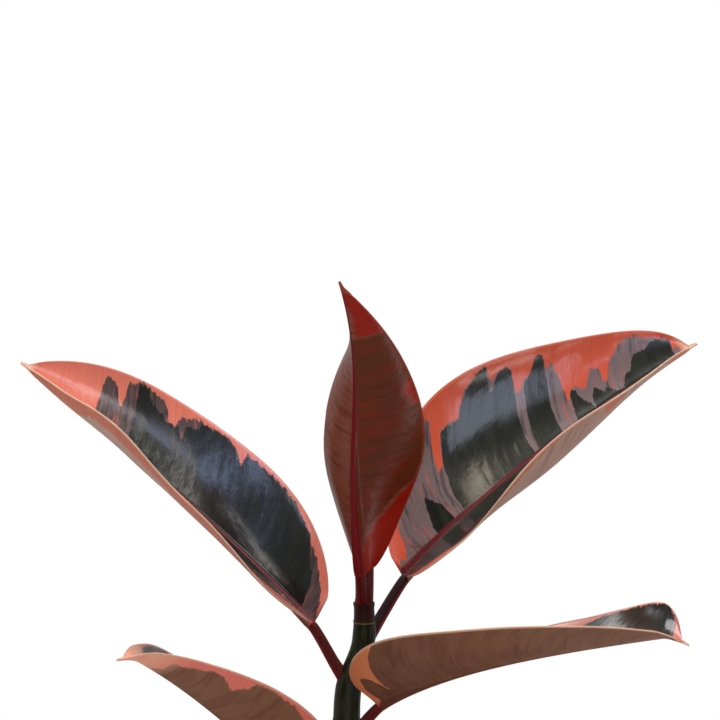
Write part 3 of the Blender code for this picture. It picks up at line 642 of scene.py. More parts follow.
# Each leaf's blade: rib is its middle line from foot to tip and face is where its upper side looks, at even
# steps. left and right are the halves seen from above with the tip ahead, folded up from the rib and curled
# further, in degrees from foot to tip. dark and mid are the outlines of the green and of the grey-red zone:
# where along the rib a side vein starts, in thousandths of it, and how far out on that vein the zone reaches,
# in hundredths of the half's width. The five lower leaves are plainer, and a rule draws their zones.
LEAVES = (
    dict(
        name="leaf_top",
        palette="youngest",
        streaks=0.08,
        softness=1.8,
        under_roughness=0.22,
        under_coat=0.13,
        specular=0.15,
        relief=0.10 * MM,
        foot=(0.0006, -0.0013),
        rise=88,
        rib=(
            (0.0011, -0.007, 0.3348),
            (-0.0027, -0.008, 0.3829),
            (-0.0025, -0.01, 0.4256),
            (-0.0093, -0.016, 0.4701),
        ),
        face=((0.55, 0.83, 0.0), (0.55, 0.83, 0.0), (1.0, 0.3, 0.1)),
        droop=0.0,
        half_width=0.0312,
        widest=0.505,
        right_share=0.85,
        round_foot=0.515,
        round_tip=0.842,
        left_fill=(0.95, 1.02, 1.02, 0.94, 1.1),
        right_fill=(0.99, 1.05, 0.92, 1.03, 1.0),
        left_fold=(12, 14, 9, 15, 15),
        left_curl=(30, 37, 30, 36, 28),
        right_fold=(21, 14, 8, 23, 45),
        right_curl=(35, 35, 32, 31, 30),
        left_dark=(
            (0, 0), (40, 5), (85, 14), (120, 26), (150, 38), (170, 50), (195, 62), (215, 75), (235, 90),
            (250, 100), (480, 100), (505, 93), (530, 85), (560, 76), (585, 84), (610, 100), (778, 100),
            (796, 80), (802, 0),
        ),
        left_mid=(
            (0, 5), (50, 14), (90, 24), (120, 36), (150, 50), (200, 75), (240, 100), (480, 100), (505, 94),
            (530, 86), (560, 78), (585, 86), (610, 100), (780, 100), (798, 85), (806, 16), (890, 22),
            (930, 0),
        ),
        right_dark=((0, 0),),
        right_mid=((0, 30), (100, 80), (300, 100), (720, 100), (800, 50), (840, 0)),
    ),
    dict(
        name="leaf_upper_right",
        palette="young",
        colours=dict(coral="#E65E3C", mid="#826C6A", dark="#1F211A", blotch="#2A2B21", rib_above="#6A2628"),
        # Its midrib line is drawn wide near the foot: the dark red rib itself, and beyond it painted shade on
        # the fold's inner face beside the rib
        midrib=3.2 * MM,
        paleness=(1.0, 0.25),
        rise=47,
        rib=((0.0196, 0.012, 0.3294), (0.0794, 0.03, 0.3814), (0.156, 0.052, 0.4304)),
        face=((-0.53, -0.51, 0.75), (-0.53, -0.51, 0.75), (-0.4, -0.5, 0.8)),
        droop=0.0,
        half_width=0.0524,
        widest=0.523,
        round_foot=0.534,
        round_tip=0.621,
        left_fill=(0.99, 1.1, 1.02, 0.85, 1.09),
        right_fill=(1.0, 0.98, 1.01, 1.01, 0.97),
        left_fold=(14, 15, 15, 15, 17),
        left_curl=(34, 25, 39, 41, 35),
        right_fold=(6, 14, 0, 21, 15),
        right_curl=(22, 34, 76, 39, 53),
        right_wave=(0.0014, 2.0, 0.25),
        left_dark=(
            (0, 0), (160, 0), (165, 26), (172, 40), (180, 50), (188, 48), (200, 38), (212, 32), (222, 24),
            (228, 0), (261, 0), (264, 74), (300, 73), (325, 69), (328, 79), (345, 86), (360, 91), (380, 96),
            (402, 96), (414, 90), (420, 76), (432, 74), (441, 85), (455, 88), (472, 89), (485, 85),
            (494, 76), (500, 60), (507, 35), (510, 0), (528, 0), (531, 70), (546, 73), (553, 79), (558, 87),
            (571, 90), (581, 87), (590, 77), (596, 58), (600, 35), (602, 0), (652, 0), (656, 37), (668, 37),
            (680, 27), (692, 17), (703, 7), (708, 3), (712, 22), (722, 27), (737, 20), (745, 14), (752, 20),
            (765, 12), (780, 4), (800, 3), (806, 18), (822, 23), (829, 36), (840, 48), (853, 53), (880, 58),
            (893, 66), (905, 73), (925, 76), (934, 72), (938, 45), (940, 0),
        ),
        left_mid=(
            (0, 50), (30, 50), (40, 28), (50, 36), (60, 44), (70, 62), (80, 76), (95, 88), (120, 95),
            (200, 96), (224, 90), (231, 86), (235, 70), (240, 52), (256, 50), (261, 60), (264, 75),
            (300, 74), (325, 70), (328, 80), (345, 87), (360, 92), (380, 96), (402, 97), (414, 93),
            (420, 86), (432, 82), (441, 86), (455, 88), (472, 89), (485, 86), (494, 77), (500, 62),
            (515, 61), (526, 66), (531, 71), (546, 74), (553, 80), (558, 88), (571, 90), (581, 88),
            (590, 78), (597, 70), (606, 78), (618, 74), (628, 62), (637, 47), (643, 36), (648, 26),
            (650, 24), (655, 34), (657, 39), (668, 38), (680, 40), (690, 38), (698, 28), (704, 36),
            (712, 48), (725, 53), (740, 53), (748, 44), (751, 27), (758, 28), (765, 37), (772, 50),
            (780, 57), (790, 64), (796, 71), (806, 77), (820, 84), (832, 84), (848, 89), (862, 86),
            (872, 76), (884, 80), (896, 80), (905, 74), (925, 77), (936, 72), (940, 30), (955, 28),
            (962, 18), (965, 0),
        ),
        right_dark=(
            (0, 60), (100, 85), (200, 88), (220, 72), (330, 74), (360, 97), (530, 98), (560, 80), (600, 72),
            (630, 98), (800, 100), (850, 90), (880, 40), (900, 0),
        ),
        right_mid=(
            (0, 70), (150, 96), (200, 94), (350, 97), (530, 99), (560, 84), (600, 76), (630, 99),
            (820, 100), (880, 60), (920, 0),
        ),
    ),
    dict(
        name="leaf_upper_left",
        palette="young",
        colours=dict(rib_above="#96363E", stalk_above="#6A2018"),
        paleness=(0.3, 1.0),
        rise=53,
        rib=((-0.0208, -0.002, 0.3109), (-0.0886, 0.01, 0.3742), (-0.154, 0.016, 0.4279)),
        face=((0.58, -0.45, 0.72), (0.61, -0.38, 0.76), (0.6, -0.25, 0.75)),
        droop=0.0,
        half_width=0.0418,
        widest=0.505,
        round_foot=0.393,
        round_tip=0.774,
        left_fill=(0.99, 0.99, 0.97, 1.04, 0.79),
        right_fill=(1.0, 1.09, 0.96, 0.95, 1.02),
        left_fold=(19, 14, 15, 9, -16),
        left_curl=(24, 32, 38, 52, 92),
        right_fold=(11, 17, 14, 16, 16),
        right_curl=(24, 35, 28, 30, 31),
        left_wave=(0.0009, 2.6, 0.44),
        left_dark=(
            (0, 5), (50, 8), (120, 15), (200, 30), (300, 45), (480, 58), (660, 60), (710, 40), (750, 0),
        ),
        left_mid=(
            (0, 30), (50, 30), (120, 40), (180, 50), (300, 70), (500, 78), (700, 80), (760, 50), (800, 0),
        ),
        right_dark=(
            (0, 0), (45, 0), (50, 20), (58, 46), (66, 68), (85, 72), (92, 85), (100, 90), (125, 93),
            (150, 96), (280, 94), (300, 93), (310, 82), (317, 78), (323, 84), (335, 92), (365, 96),
            (410, 94), (438, 93), (446, 82), (475, 80), (488, 78), (493, 62), (501, 60), (506, 72),
            (530, 67), (548, 66), (556, 70), (563, 76), (573, 72), (592, 77), (603, 86), (606, 94),
            (635, 96), (641, 85), (643, 0),
        ),
        right_mid=(
            (0, 30), (10, 45), (20, 64), (30, 72), (40, 78), (50, 84), (70, 87), (88, 87), (96, 90),
            (125, 93), (150, 96), (280, 95), (300, 94), (310, 83), (317, 79), (323, 85), (335, 93),
            (365, 96), (410, 94), (438, 94), (472, 91), (478, 88), (481, 81), (486, 81), (490, 84),
            (497, 86), (505, 82), (510, 73), (530, 69), (541, 69), (543, 83), (553, 88), (568, 91),
            (590, 93), (600, 95), (635, 97), (652, 93), (667, 91), (674, 86), (680, 60), (685, 47),
            (692, 52), (700, 66), (707, 76), (718, 80), (732, 86), (745, 87), (750, 62), (753, 0),
        ),
    ),
    dict(
        name="leaf_mid_right",
        colours=dict(coral="#D88070", under_coral="#FF9C68"),
        tail=(0.985, 0.995),
        rise=50,
        rib=(
            (0.0094, -0.025, 0.2804),
            (0.0456, -0.056, 0.3014),
            (0.0915, -0.082, 0.3177),
            (0.1411, -0.096, 0.3289),
        ),
        face=((-0.1, 0.1, 1.0), (-0.1, 0.1, 1.0), (0.0, 0.1, 1.0)),
        half_width=0.0445,
        widest=0.492,
        round_foot=0.363,
        round_tip=0.324,
        left_fill=(1.0, 0.98, 1.05, 0.93, 1.06),
        right_fill=(0.98, 1.05, 1.01, 1.03, 0.98),
        droop=0.005,
        left_fold=(0, 1, 1, 5, 28),
        left_curl=(15, 20, 20, 25, 30),
        right_fold=(19, 22, 16, 12, 5),
        right_curl=(25, 25, 24, 20, 10),
        left_dark=(
            (0, 30), (300, 60), (500, 70), (550, 86), (580, 92), (650, 95), (750, 96), (900, 96), (925, 85),
            (935, 65), (938, 40), (945, 0),
        ),
        left_mid=(
            (0, 40), (300, 70), (500, 78), (540, 88), (580, 94), (650, 96), (900, 97), (930, 90), (942, 70),
            (950, 35), (955, 0),
        ),
        right_dark=(
            (0, 0), (18, 10), (25, 55), (36, 74), (50, 72), (72, 59), (84, 42), (89, 20), (93, 20),
            (97, 60), (102, 88), (115, 95), (130, 110), (700, 115), (950, 110), (1000, 100),
        ),
        right_mid=(
            (0, 0), (18, 10), (25, 56), (36, 75), (50, 73), (72, 60), (84, 44), (89, 24), (93, 24),
            (96, 64), (101, 90), (114, 96), (130, 110), (700, 115), (950, 110), (1000, 100),
        ),
    ),
    dict(
        name="leaf_mid_left",
        # Its pale tip reaches far along the blade: partly the leaf's own pale tip, partly a painted highlight
        # on it
        colours=dict(under_coral="#F07E6E", edge="#FAB698"),
        tail=(0.82, 0.93),
        rise=50,
        rib=(
            (-0.0153, -0.024, 0.2391),
            (-0.046, -0.055, 0.2681),
            (-0.0719, -0.085, 0.2977),
            (-0.1023, -0.11, 0.3247),
        ),
        face=((0.0, 0.1, 1.0), (0.0, 0.1, 1.0), (0.0, 0.1, 1.0)),
        half_width=0.0406,
        widest=0.495,
        round_foot=0.502,
        round_tip=0.717,
        left_fill=(1.0, 0.96, 0.98, 0.99, 1.01),
        right_fill=(1.0, 1.01, 0.99, 1.01, 0.99),
        left_fold=(4, 7, 7, 9, 16),
        left_curl=(19, 21, 20, 21, 28),
        right_fold=(14, 15, 21, 19, 13),
        right_curl=(28, 29, 30, 28, 31),
        left_dark=(
            (0, 60), (350, 88), (385, 92), (430, 94), (512, 95), (555, 95), (575, 90), (580, 80), (605, 72),
            (630, 57), (645, 62), (660, 72), (685, 80), (710, 85), (732, 84), (748, 77), (760, 74),
            (785, 70), (805, 66), (842, 63), (848, 50), (851, 30), (860, 24), (872, 18), (880, 0),
        ),
        left_mid=(
            (0, 62), (350, 89), (385, 93), (430, 95), (512, 96), (555, 96), (575, 91), (581, 82), (605, 74),
            (630, 60), (645, 65), (660, 74), (685, 82), (710, 86), (732, 85), (748, 79), (760, 76),
            (785, 72), (805, 68), (842, 64), (850, 50), (853, 32), (872, 20), (882, 0),
        ),
        right_dark=((0, 60), (300, 90), (480, 98), (600, 97), (700, 95), (780, 90), (805, 75), (815, 0)),
        right_mid=((0, 70), (300, 94), (480, 98), (700, 96), (790, 91), (815, 76), (830, 0)),
    ),
    dict(
        name="leaf_low_right",
        rib=((0.026, -0.001, 0.218), (0.110, -0.006, 0.238), (0.193, -0.012, 0.224)),
        face=((-0.2, 0.0, 1.0), (-0.1, 0.0, 1.0), (0.2, 0.0, 1.0)),
        curl=(24, 20, 20),
        left_wave=(0.0012, 2.0, 0.0),
        right_wave=(0.0012, 2.0, 0.4),
    ),
    dict(
        name="leaf_low_back_left",
        rib=((-0.027, 0.024, 0.200), (-0.080, 0.076, 0.216), (-0.135, 0.128, 0.203)),
        face=((0.15, -0.15, 1.0), (0.1, -0.1, 1.0), (-0.1, 0.1, 1.0)),
        half_width=0.045,
        fold=(8, 6, 6),
        curl=(22, 16, 16),
        left_wave=(0.0012, 2.0, 0.2),
        right_wave=(0.0012, 2.5, 0.6),
    ),
    dict(
        name="leaf_low_front",
        rib=((0.003, -0.030, 0.184), (0.009, -0.108, 0.203), (0.018, -0.186, 0.188)),
        face=((0.0, 0.2, 1.0), (0.0, 0.1, 1.0), (0.0, -0.2, 1.0)),
        curl=(22, 20, 18),
        left_wave=(0.0014, 2.0, 0.5),
        right_wave=(0.0010, 2.5, 0.1),
    ),
    dict(
        name="leaf_low_back_right",
        rib=((0.018, 0.023, 0.167), (0.070, 0.084, 0.184), (0.122, 0.144, 0.172)),
        face=((-0.15, -0.15, 1.0), (-0.1, -0.1, 1.0), (0.1, 0.1, 1.0)),
        curl=(22, 18, 18),
        left_wave=(0.0012, 2.5, 0.3),
        right_wave=(0.0012, 2.0, 0.8),
    ),
    dict(
        name="leaf_low_left",
        rib=((-0.027, -0.006, 0.153), (-0.107, -0.020, 0.170), (-0.188, -0.036, 0.158)),
        face=((0.2, 0.0, 1.0), (0.1, 0.0, 1.0), (-0.2, 0.0, 1.0)),
        curl=(22, 20, 20),
        left_wave=(0.0012, 2.0, 0.6),
        right_wave=(0.0012, 2.5, 0.2),
    ),
)


def through(values, share):
    """A smooth value through evenly spaced values, from the first (share 0) to the last (share 1)."""
    last = len(values) - 1
    total = values[0] * 0.0
    for i, value in enumerate(values):
        weight = 1.0
        for j in range(last + 1):
            if j != i:
                weight *= (share * last - j) / (i - j)
        total = total + value * weight
    return total


def blade_frame(leaf, share):
    """Middle line point, direction, upper side's direction and left direction at a share of the blade."""
    rib = [Vector(point) for point in leaf["rib"]]
    step = 0.001
    point = through(rib, share)
    ahead = (through(rib, share + step) - through(rib, share - step)).normalized()
    face = through([Vector(look).normalized() for look in leaf["face"]], share)
    up = (face - ahead * face.dot(ahead)).normalized()
    if share > DROOP_START:
        point = point - up * leaf["droop"] * ((share - DROOP_START) / (1 - DROOP_START)) ** 1.5
    return point, ahead, up, up.cross(ahead)


def half_width(leaf, side, share):
    """Width of one half of the blade: a full outline that runs out into a narrow tail."""
    along = min(share / BODY_SHARE, 1.0)
    power = math.log(0.5) / math.log(leaf["widest"])
    bluntness = leaf["round_foot"] + (leaf["round_tip"] - leaf["round_foot"]) * along
    width = leaf["half_width"] * max(math.sin(math.pi * along ** power), 0.0) ** bluntness
    width *= through(leaf[side + "_fill"], share)
    if side == "right":
        width *= leaf["right_share"]
    if share < 0.5:
        return max(width, STALK_RADIUS)
    return math.hypot(width, min(TAIL_HALF_WIDTH, TIP_HALF_WIDTH + TAIL_TAPER * (1 - share)))


def blade_length(leaf):
    """Length along the rib from the blade's foot to its tip."""
    rib = [Vector(point) for point in leaf["rib"]]
    steps = 60
    points = [through(rib, i / steps) for i in range(steps + 1)]
    return sum((b - a).length for a, b in zip(points, points[1:]))


def vein_start(leaf, share, out):
    """Distance along the rib, in metres, where the side vein through a place started."""
    lean = VEIN_LEAN_FOOT + (VEIN_LEAN_TIP - VEIN_LEAN_FOOT) * share
    return share * leaf["length"] - out * lean - VEIN_BEND * out * out


def rib_half(share):
    """Half width of the midrib, which narrows to the tip."""
    return RIB_HALF_WIDTH * (1 - RIB_NARROWING * share)


def half_columns(leaf, side, share):
    """Shares of one half's width at which the mesh has its columns."""
    rib_edge = min(rib_half(share) / half_width(leaf, side, share), RIB_MOST_SHARE)
    columns = [rib_edge * column for column in RIB_COLUMNS]
    return columns + [rib_edge + (1 - rib_edge) * k / BLADE_COLUMNS for k in range(BLADE_COLUMNS + 1)]


def blade_row(leaf, share):
    """One section round the blade: the upper side from right to left, then the underside back.

    Each entry is a point, its place among the veins (vein's start, distance out and side up) and its place in
    the outline (share along, share across and how much it is stalk).
    """
    point, _, up, left = blade_frame(leaf, share)
    half = BLADE_THICKNESS / 2
    rib_depth = (2 * STALK_RADIUS - BLADE_THICKNESS) * (1 - share) ** RIB_FADE
    start = share * leaf["length"]
    groove = GROOVE_DEPTH * min(1.0, (1 - share) / GROOVE_END_SHARE)
    halves = {}
    for side, sign in (("left", 1), ("right", -1)):
        width = half_width(leaf, side, share)
        fold = math.radians(through(leaf[side + "_fold"], share))
        curl = math.radians(through(leaf[side + "_curl"], share))
        height, waves, wave_start = leaf[side + "_wave"]
        wave = height * math.sin(math.tau * (waves * share + wave_start))
        wave *= min(1.0, WAVE_WHERE_NARROW * width / leaf["half_width"])
        top = []
        under = []
        edge = []
        for across in half_columns(leaf, side, share):
            slope = fold + curl * across
            out = width * (math.sin(slope) - math.sin(fold)) / curl
            rise = width * (math.cos(fold) - math.cos(slope)) / curl
            d = width * across
            w = vein_start(leaf, share, d)
            normal = up * math.cos(slope) - left * (sign * math.sin(slope))
            middle = point + left * (sign * out) + up * rise
            lift = wave * across * across
            quilt = min(1.0, d / QUILT_FROM_RIB) * min(1.0, (width - d) / QUILT_FROM_EDGE + QUILT_AT_EDGE)
            spot = Vector((w * VEIN_WANDERS_PER_METRE[0], d * VEIN_WANDERS_PER_METRE[1], sign))
            ripple = math.sin(math.tau * w / VEIN_SPACING + VEIN_WANDER * noise.noise(spot))
            lift += QUILT_HEIGHT * ripple * quilt
            buckle = noise.noise(Vector((w / BUCKLE_LENGTH, sign * d / BUCKLE_LENGTH, leaf["seed"])))
            lift += BUCKLE_HEIGHT * buckle * min(1.0, d / BUCKLE_FROM_RIB)
            middle = middle + normal * lift
            thick = half + (MARGIN_THICKNESS / 2 - half) * across
            dip = groove * math.exp(-(d / GROOVE_HALF_WIDTH) ** 2)
            keel = rib_depth * max(1 - (d / (RIDGE_WIDTH * rib_half(share))) ** 2, 0.0) ** RIDGE_POWER
            outline = Vector((share, across, 0.0))
            top.append((middle + normal * (thick - dip), Vector((w, sign * d, 1.0)), outline))
            under.append((middle - normal * (thick + keel), Vector((w, sign * d, -1.0)), outline))
        outward = left * (sign * math.cos(slope)) + up * math.sin(slope)
        for angle in EDGE_ANGLES:
            tilt = math.radians(angle)
            bulge = normal * (thick * math.cos(tilt)) + outward * (thick * math.sin(tilt))
            edge.append((middle + bulge, Vector((w, sign * d, math.cos(tilt))), outline))
        halves[side] = (top, under, edge)
    ridge = Vector((share, 0.0, 0.0))
    crest = (point + up * (half - groove), Vector((start, 0.0, 1.0)), ridge)
    keel = (point - up * (half + rib_depth), Vector((start, 0.0, -1.0)), ridge)
    top_left, under_left, edge_left = halves["left"]
    top_right, under_right, edge_right = halves["right"]
    upper = top_right[::-1] + [crest] + top_left
    lower = under_left[::-1] + [keel] + under_right
    return upper + edge_left + lower + edge_right[::-1]


def round_angles(leaf):
    """Angle round the stalk for each entry of a section, so that stalk and blade share their columns."""
    turns = [80 * across ** 0.6 for across in half_columns(leaf, "left", 0.0)]
    upper = [90 + turn for turn in turns[::-1]] + [90] + [90 - turn for turn in turns]
    lower = [-90 + turn for turn in turns[::-1]] + [-90] + [-90 - turn for turn in turns]
    return upper + [5, 0, -5] + lower + [-175, -180, -185]


def stalk_row(leaf, middle, up, left, radius, along):
    """One round section of the stalk, in the same form as a section of the blade."""
    row = []
    for degrees in round_angles(leaf):
        angle = math.radians(degrees)
        spot = middle + left * (radius * math.cos(angle)) + up * (radius * math.sin(angle))
        veins = Vector((along, radius * math.cos(angle) * 1.5, math.sin(angle)))
        row.append((spot, veins, Vector((0.0, abs(math.cos(angle)), 1.0))))
    return row


def stalk_start(leaf):
    """Where the stalk's middle leaves the stem's bark, and its direction there."""
    rise = math.radians(leaf["rise"])
    if leaf["name"] not in STALKS:
        return Vector((*leaf["foot"], STEM_TOP)), Vector((0.0, -math.cos(rise), math.sin(rise)))
    height, bearing = STALKS[leaf["name"]]
    x, y, radius = stem_at(height)
    outward = Vector((math.cos(math.radians(bearing)), math.sin(math.radians(bearing)), 0.0))
    upward = Vector((0.0, 0.0, 1.0))
    return Vector((x, y, height)) + outward * radius, outward * math.cos(rise) + upward * math.sin(rise)


def seated(leaf, point, direction):
    """Slide a point along the stalk's direction to just inside the bark, or onto the stem's top."""
    if leaf["name"] not in STALKS:
        return point + direction * ((STEM_TOP + ROOT_OFF_STEM - point.z) / direction.z)
    near = -10 * MM
    far = 10 * MM
    for _ in range(24):
        middle = (near + far) / 2
        moved = point + direction * middle
        x, y, radius = stem_at(moved.z)
        if math.hypot(moved.x - x, moved.y - y) < radius + ROOT_OFF_STEM:
            near = middle
        else:
            far = middle
    return point + direction * far


def stalk_rows(leaf):
    """Sections from the stem to the blade's foot: a bent round stalk with a flared root."""
    start, direction = stalk_start(leaf)
    point, ahead, up, _ = blade_frame(leaf, 0.0)
    end = point - up * (STALK_RADIUS - BLADE_THICKNESS / 2)
    length = (end - start).length
    reach = length * STALK_BEND
    handles = (start, start + direction * reach, end - ahead * reach, end)
    rows = []
    for i in range(STALK_ROWS):
        t = i / STALK_ROWS
        weights = ((1 - t) ** 3, 3 * t * (1 - t) ** 2, 3 * t * t * (1 - t), t ** 3)
        middle = sum((handle * weight for handle, weight in zip(handles, weights)), Vector())
        heading = direction.lerp(ahead, t).normalized()
        up_here = (up - heading * up.dot(heading)).normalized()
        radius = STALK_ROOT_RADIUS + (STALK_RADIUS - STALK_ROOT_RADIUS) * t
        radius *= 1 + STALK_FLARE * math.exp(-((t / STALK_FLARE_SHARE) ** 2))
        rows.append(stalk_row(leaf, middle, up_here, up_here.cross(heading), radius, (t - 1) * length))
    # The first sections lean from the bark's surface to the stalk's own cross-section
    root = [seated(leaf, spot, direction) for spot, _, _ in rows[0]]
    clear = int(STALK_CLEAR * STALK_ROWS)
    for i in range(clear):
        rows[i] = [
            (fixed.lerp(leant, i / clear), veins, outline)
            for fixed, (leant, _, _), (_, veins, outline) in zip(root, rows[clear], rows[i])
        ]
    return rows


def leaf_rows(leaf):
    """All sections of a leaf, from its root on the stem to its tip."""
    rows = stalk_rows(leaf)
    for j in range(BLADE_ROWS + 1):
        even = j / BLADE_ROWS
        share = 0.6 * even + 0.4 * (1 - math.cos(math.pi * even)) / 2
        flattened = min(1.0, math.sqrt(share / FLATTEN_BY))
        if flattened < 1.0:
            point, _, up, left = blade_frame(leaf, share)
            middle = point - up * (STALK_RADIUS - BLADE_THICKNESS / 2)
            rounded = stalk_row(leaf, middle, up, left, STALK_RADIUS, share * leaf["length"])
            flat = blade_row(leaf, share)
            rows.append([
                (a[0].lerp(b[0], flattened), b[1], b[2] + Vector((0.0, 0.0, 1 - flattened)))
                for a, b in zip(rounded, flat)
            ])
        else:
            rows.append(blade_row(leaf, share))
    return rows


# Steps of a border along the rib, and how much more its distance counts along the rib than out from it
BORDER_STEP = 0.02
BORDER_STRETCH = 2.2


def zone_border(leaf, side, outline):
    """A zone's outline, given in shares, as (vein start, distance out) in millimetres."""
    given_starts, given_reaches = zip(*outline)
    starts = sorted({*given_starts, *np.arange(given_starts[0], given_starts[-1], BORDER_STEP)})
    border = []
    for start_share, reach_share in zip(starts, np.interp(starts, given_starts, given_reaches)):
        # Close in on the place along the blade where the side vein reaches the border
        share = start_share
        for _ in range(30):
            out = reach_share * half_width(leaf, side, share)
            share += 0.4 * (start_share - vein_start(leaf, share, out) / leaf["length"])
            share = min(max(share, 0.0), 1.0)
        border.append((start_share * leaf["length"] / MM, out / MM))
    first = border[0]
    last = border[-1]
    return [(first[0] - 40, first[1])] + border + [(last[0] + 60, last[1])]


def zone_depth(border, starts, outs):
    """How far inside a zone each place lies, in millimetres, and less than 0 outside it."""
    wide = np.array([point[0] for point in border])
    reach = np.array([point[1] for point in border])
    nearest = np.full(starts.shape, 1e6)
    for a in range(len(border) - 1):
        dx = (wide[a + 1] - wide[a]) * BORDER_STRETCH
        dy = reach[a + 1] - reach[a]
        px = (starts - wide[a]) * BORDER_STRETCH
        py = outs - reach[a]
        along = np.clip((px * dx + py * dy) / max(dx * dx + dy * dy, 1e-9), 0.0, 1.0)
        nearest = np.minimum(nearest, np.hypot(px - along * dx, py - along * dy))
    inside = outs < np.interp(starts, wide, reach)
    return np.where(inside, nearest, -nearest)


# Lobes and notches of a lower leaf's zone: widths as shares of the rib, and reaches as shares of the full one
LOBE_WIDTHS = (0.015, 0.07)
LOBE_REACHES = (0.74, 1.0)
NOTCH_WIDTHS = (0.01, 0.025)
NOTCH_REACHES = (0.25, 0.6)
NOTCH_CHANCE = 0.16
LOBES_END = 0.80


def drawn_zone(draw, full):
    """A zone's outline for a lower leaf: broad lobes with a few deep notches."""
    outline = [(0.0, full * 0.6)]
    start = 0.03
    reach = full * 0.85
    while start < LOBES_END:
        outline.append((start, reach))
        start += draw.uniform(*LOBE_WIDTHS)
        reach = full * draw.uniform(*LOBE_REACHES)
        if draw.random() < NOTCH_CHANCE:
            outline.append((start, full * draw.uniform(*NOTCH_REACHES)))
            start += draw.uniform(*NOTCH_WIDTHS)
    return outline + [(0.84, full * 0.5), (0.87, 0.0)]


def paint_zones(mesh, leaf):
    """Keep in the mesh how far inside the dark and the middle zone each place of the leaf lies."""
    count = len(mesh.vertices)
    veins = np.zeros(count * 3, dtype=np.float32)
    mesh.attributes["veins"].data.foreach_get("vector", veins)
    veins = veins.reshape(-1, 3)
    starts = veins[:, 0] / MM
    outs = np.abs(veins[:, 1]) / MM
    for zone in ("dark", "mid"):
        depth = np.zeros(count, dtype=np.float32)
        for side, chosen in (("left", veins[:, 1] >= 0), ("right", veins[:, 1] < 0)):
            border = zone_border(leaf, side, leaf[f"{side}_{zone}"])
            depth[chosen] = zone_depth(border, starts[chosen], outs[chosen])
        layer = mesh.attributes.new(zone, "FLOAT", "POINT")
        layer.data.foreach_set("value", depth)


# Colours of the leaf zones. The youngest leaf is still red all over, the next two are grey-pink below, and
# the grown ones are brown below. A leaf's own colours entry changes some of them.
PALETTES = dict(
    youngest=dict(
        coral="#B8452C", mid="#64403A", dark="#231D1A", blotch="#2C211C", under_coral="#A42010",
        under_mid="#8E5240", under_dark="#683014", under_blotch="#782A14", rib_above="#8C2224",
        rib_below="#7C0810", edge="#B0503C", stalk_above="#5A1410", stalk_below="#7C1612",
    ),
    young=dict(
        coral="#EC8068", mid="#5C4846", dark="#1B1C18", blotch="#22231C", under_coral="#DC8068",
        under_mid="#D2A894", under_dark="#CAA290", under_blotch="#C09684", rib_above="#7E2028",
        rib_below="#9A5040", edge="#FFCDAC", stalk_above="#331210", stalk_below="#9A2A22",
    ),
    grown=dict(
        coral="#D06A56", mid="#6A5450", dark="#23221F", blotch="#2A2823", under_coral="#DA7660",
        under_mid="#966A54", under_dark="#8C6048", under_blotch="#80553F", rib_above="#7A2024",
        rib_below="#7A4A38", edge="#FFC8A4", stalk_above="#4A1614", stalk_below="#8A2620",
    ),
)
# Streaks along the side veins: width across them, length along them, and how fine they are
TEETH = (2.2 * MM, 8 * MM, 2.0)
FINE_TEETH = (0.7 * MM, 4 * MM, 1.0)
STREAKS = (1.2 * MM, 14 * MM, 3.0)
STRIAE = (0.9 * MM, 40 * MM, 2.0)
# Thin lines along the side veins that carry painted shade in the leaf's creases
CREASE_SHADE_LINES = (0.5 * MM, 34 * MM, 0.0)
BLOTCHES = (5.0 * MM, 22 * MM, 3.0)
MIXED = (2.2 * MM, 16 * MM, 2.0)
MOTTLE = 2.4 * MM
SWELLS = 9.0 * MM
# How far the teeth reach over a zone's border, in millimetres
TEETH_REACH = 4.5
FINE_TEETH_REACH = 2.2
# The midrib's line above and ridge below: half width at its tip, how much wider it is at the foot, and how
# softly it ends
LINE_TIP = 0.35 * MM
LINE_SOFTNESS = 0.25
RIDGE_TIP = 0.45 * MM
RIDGE_WIDENING = 1.7 * MM
RIDGE_SOFTNESS = 0.15
WAXY_ROUGHNESS = 0.15
WAXY_COAT = 0.8


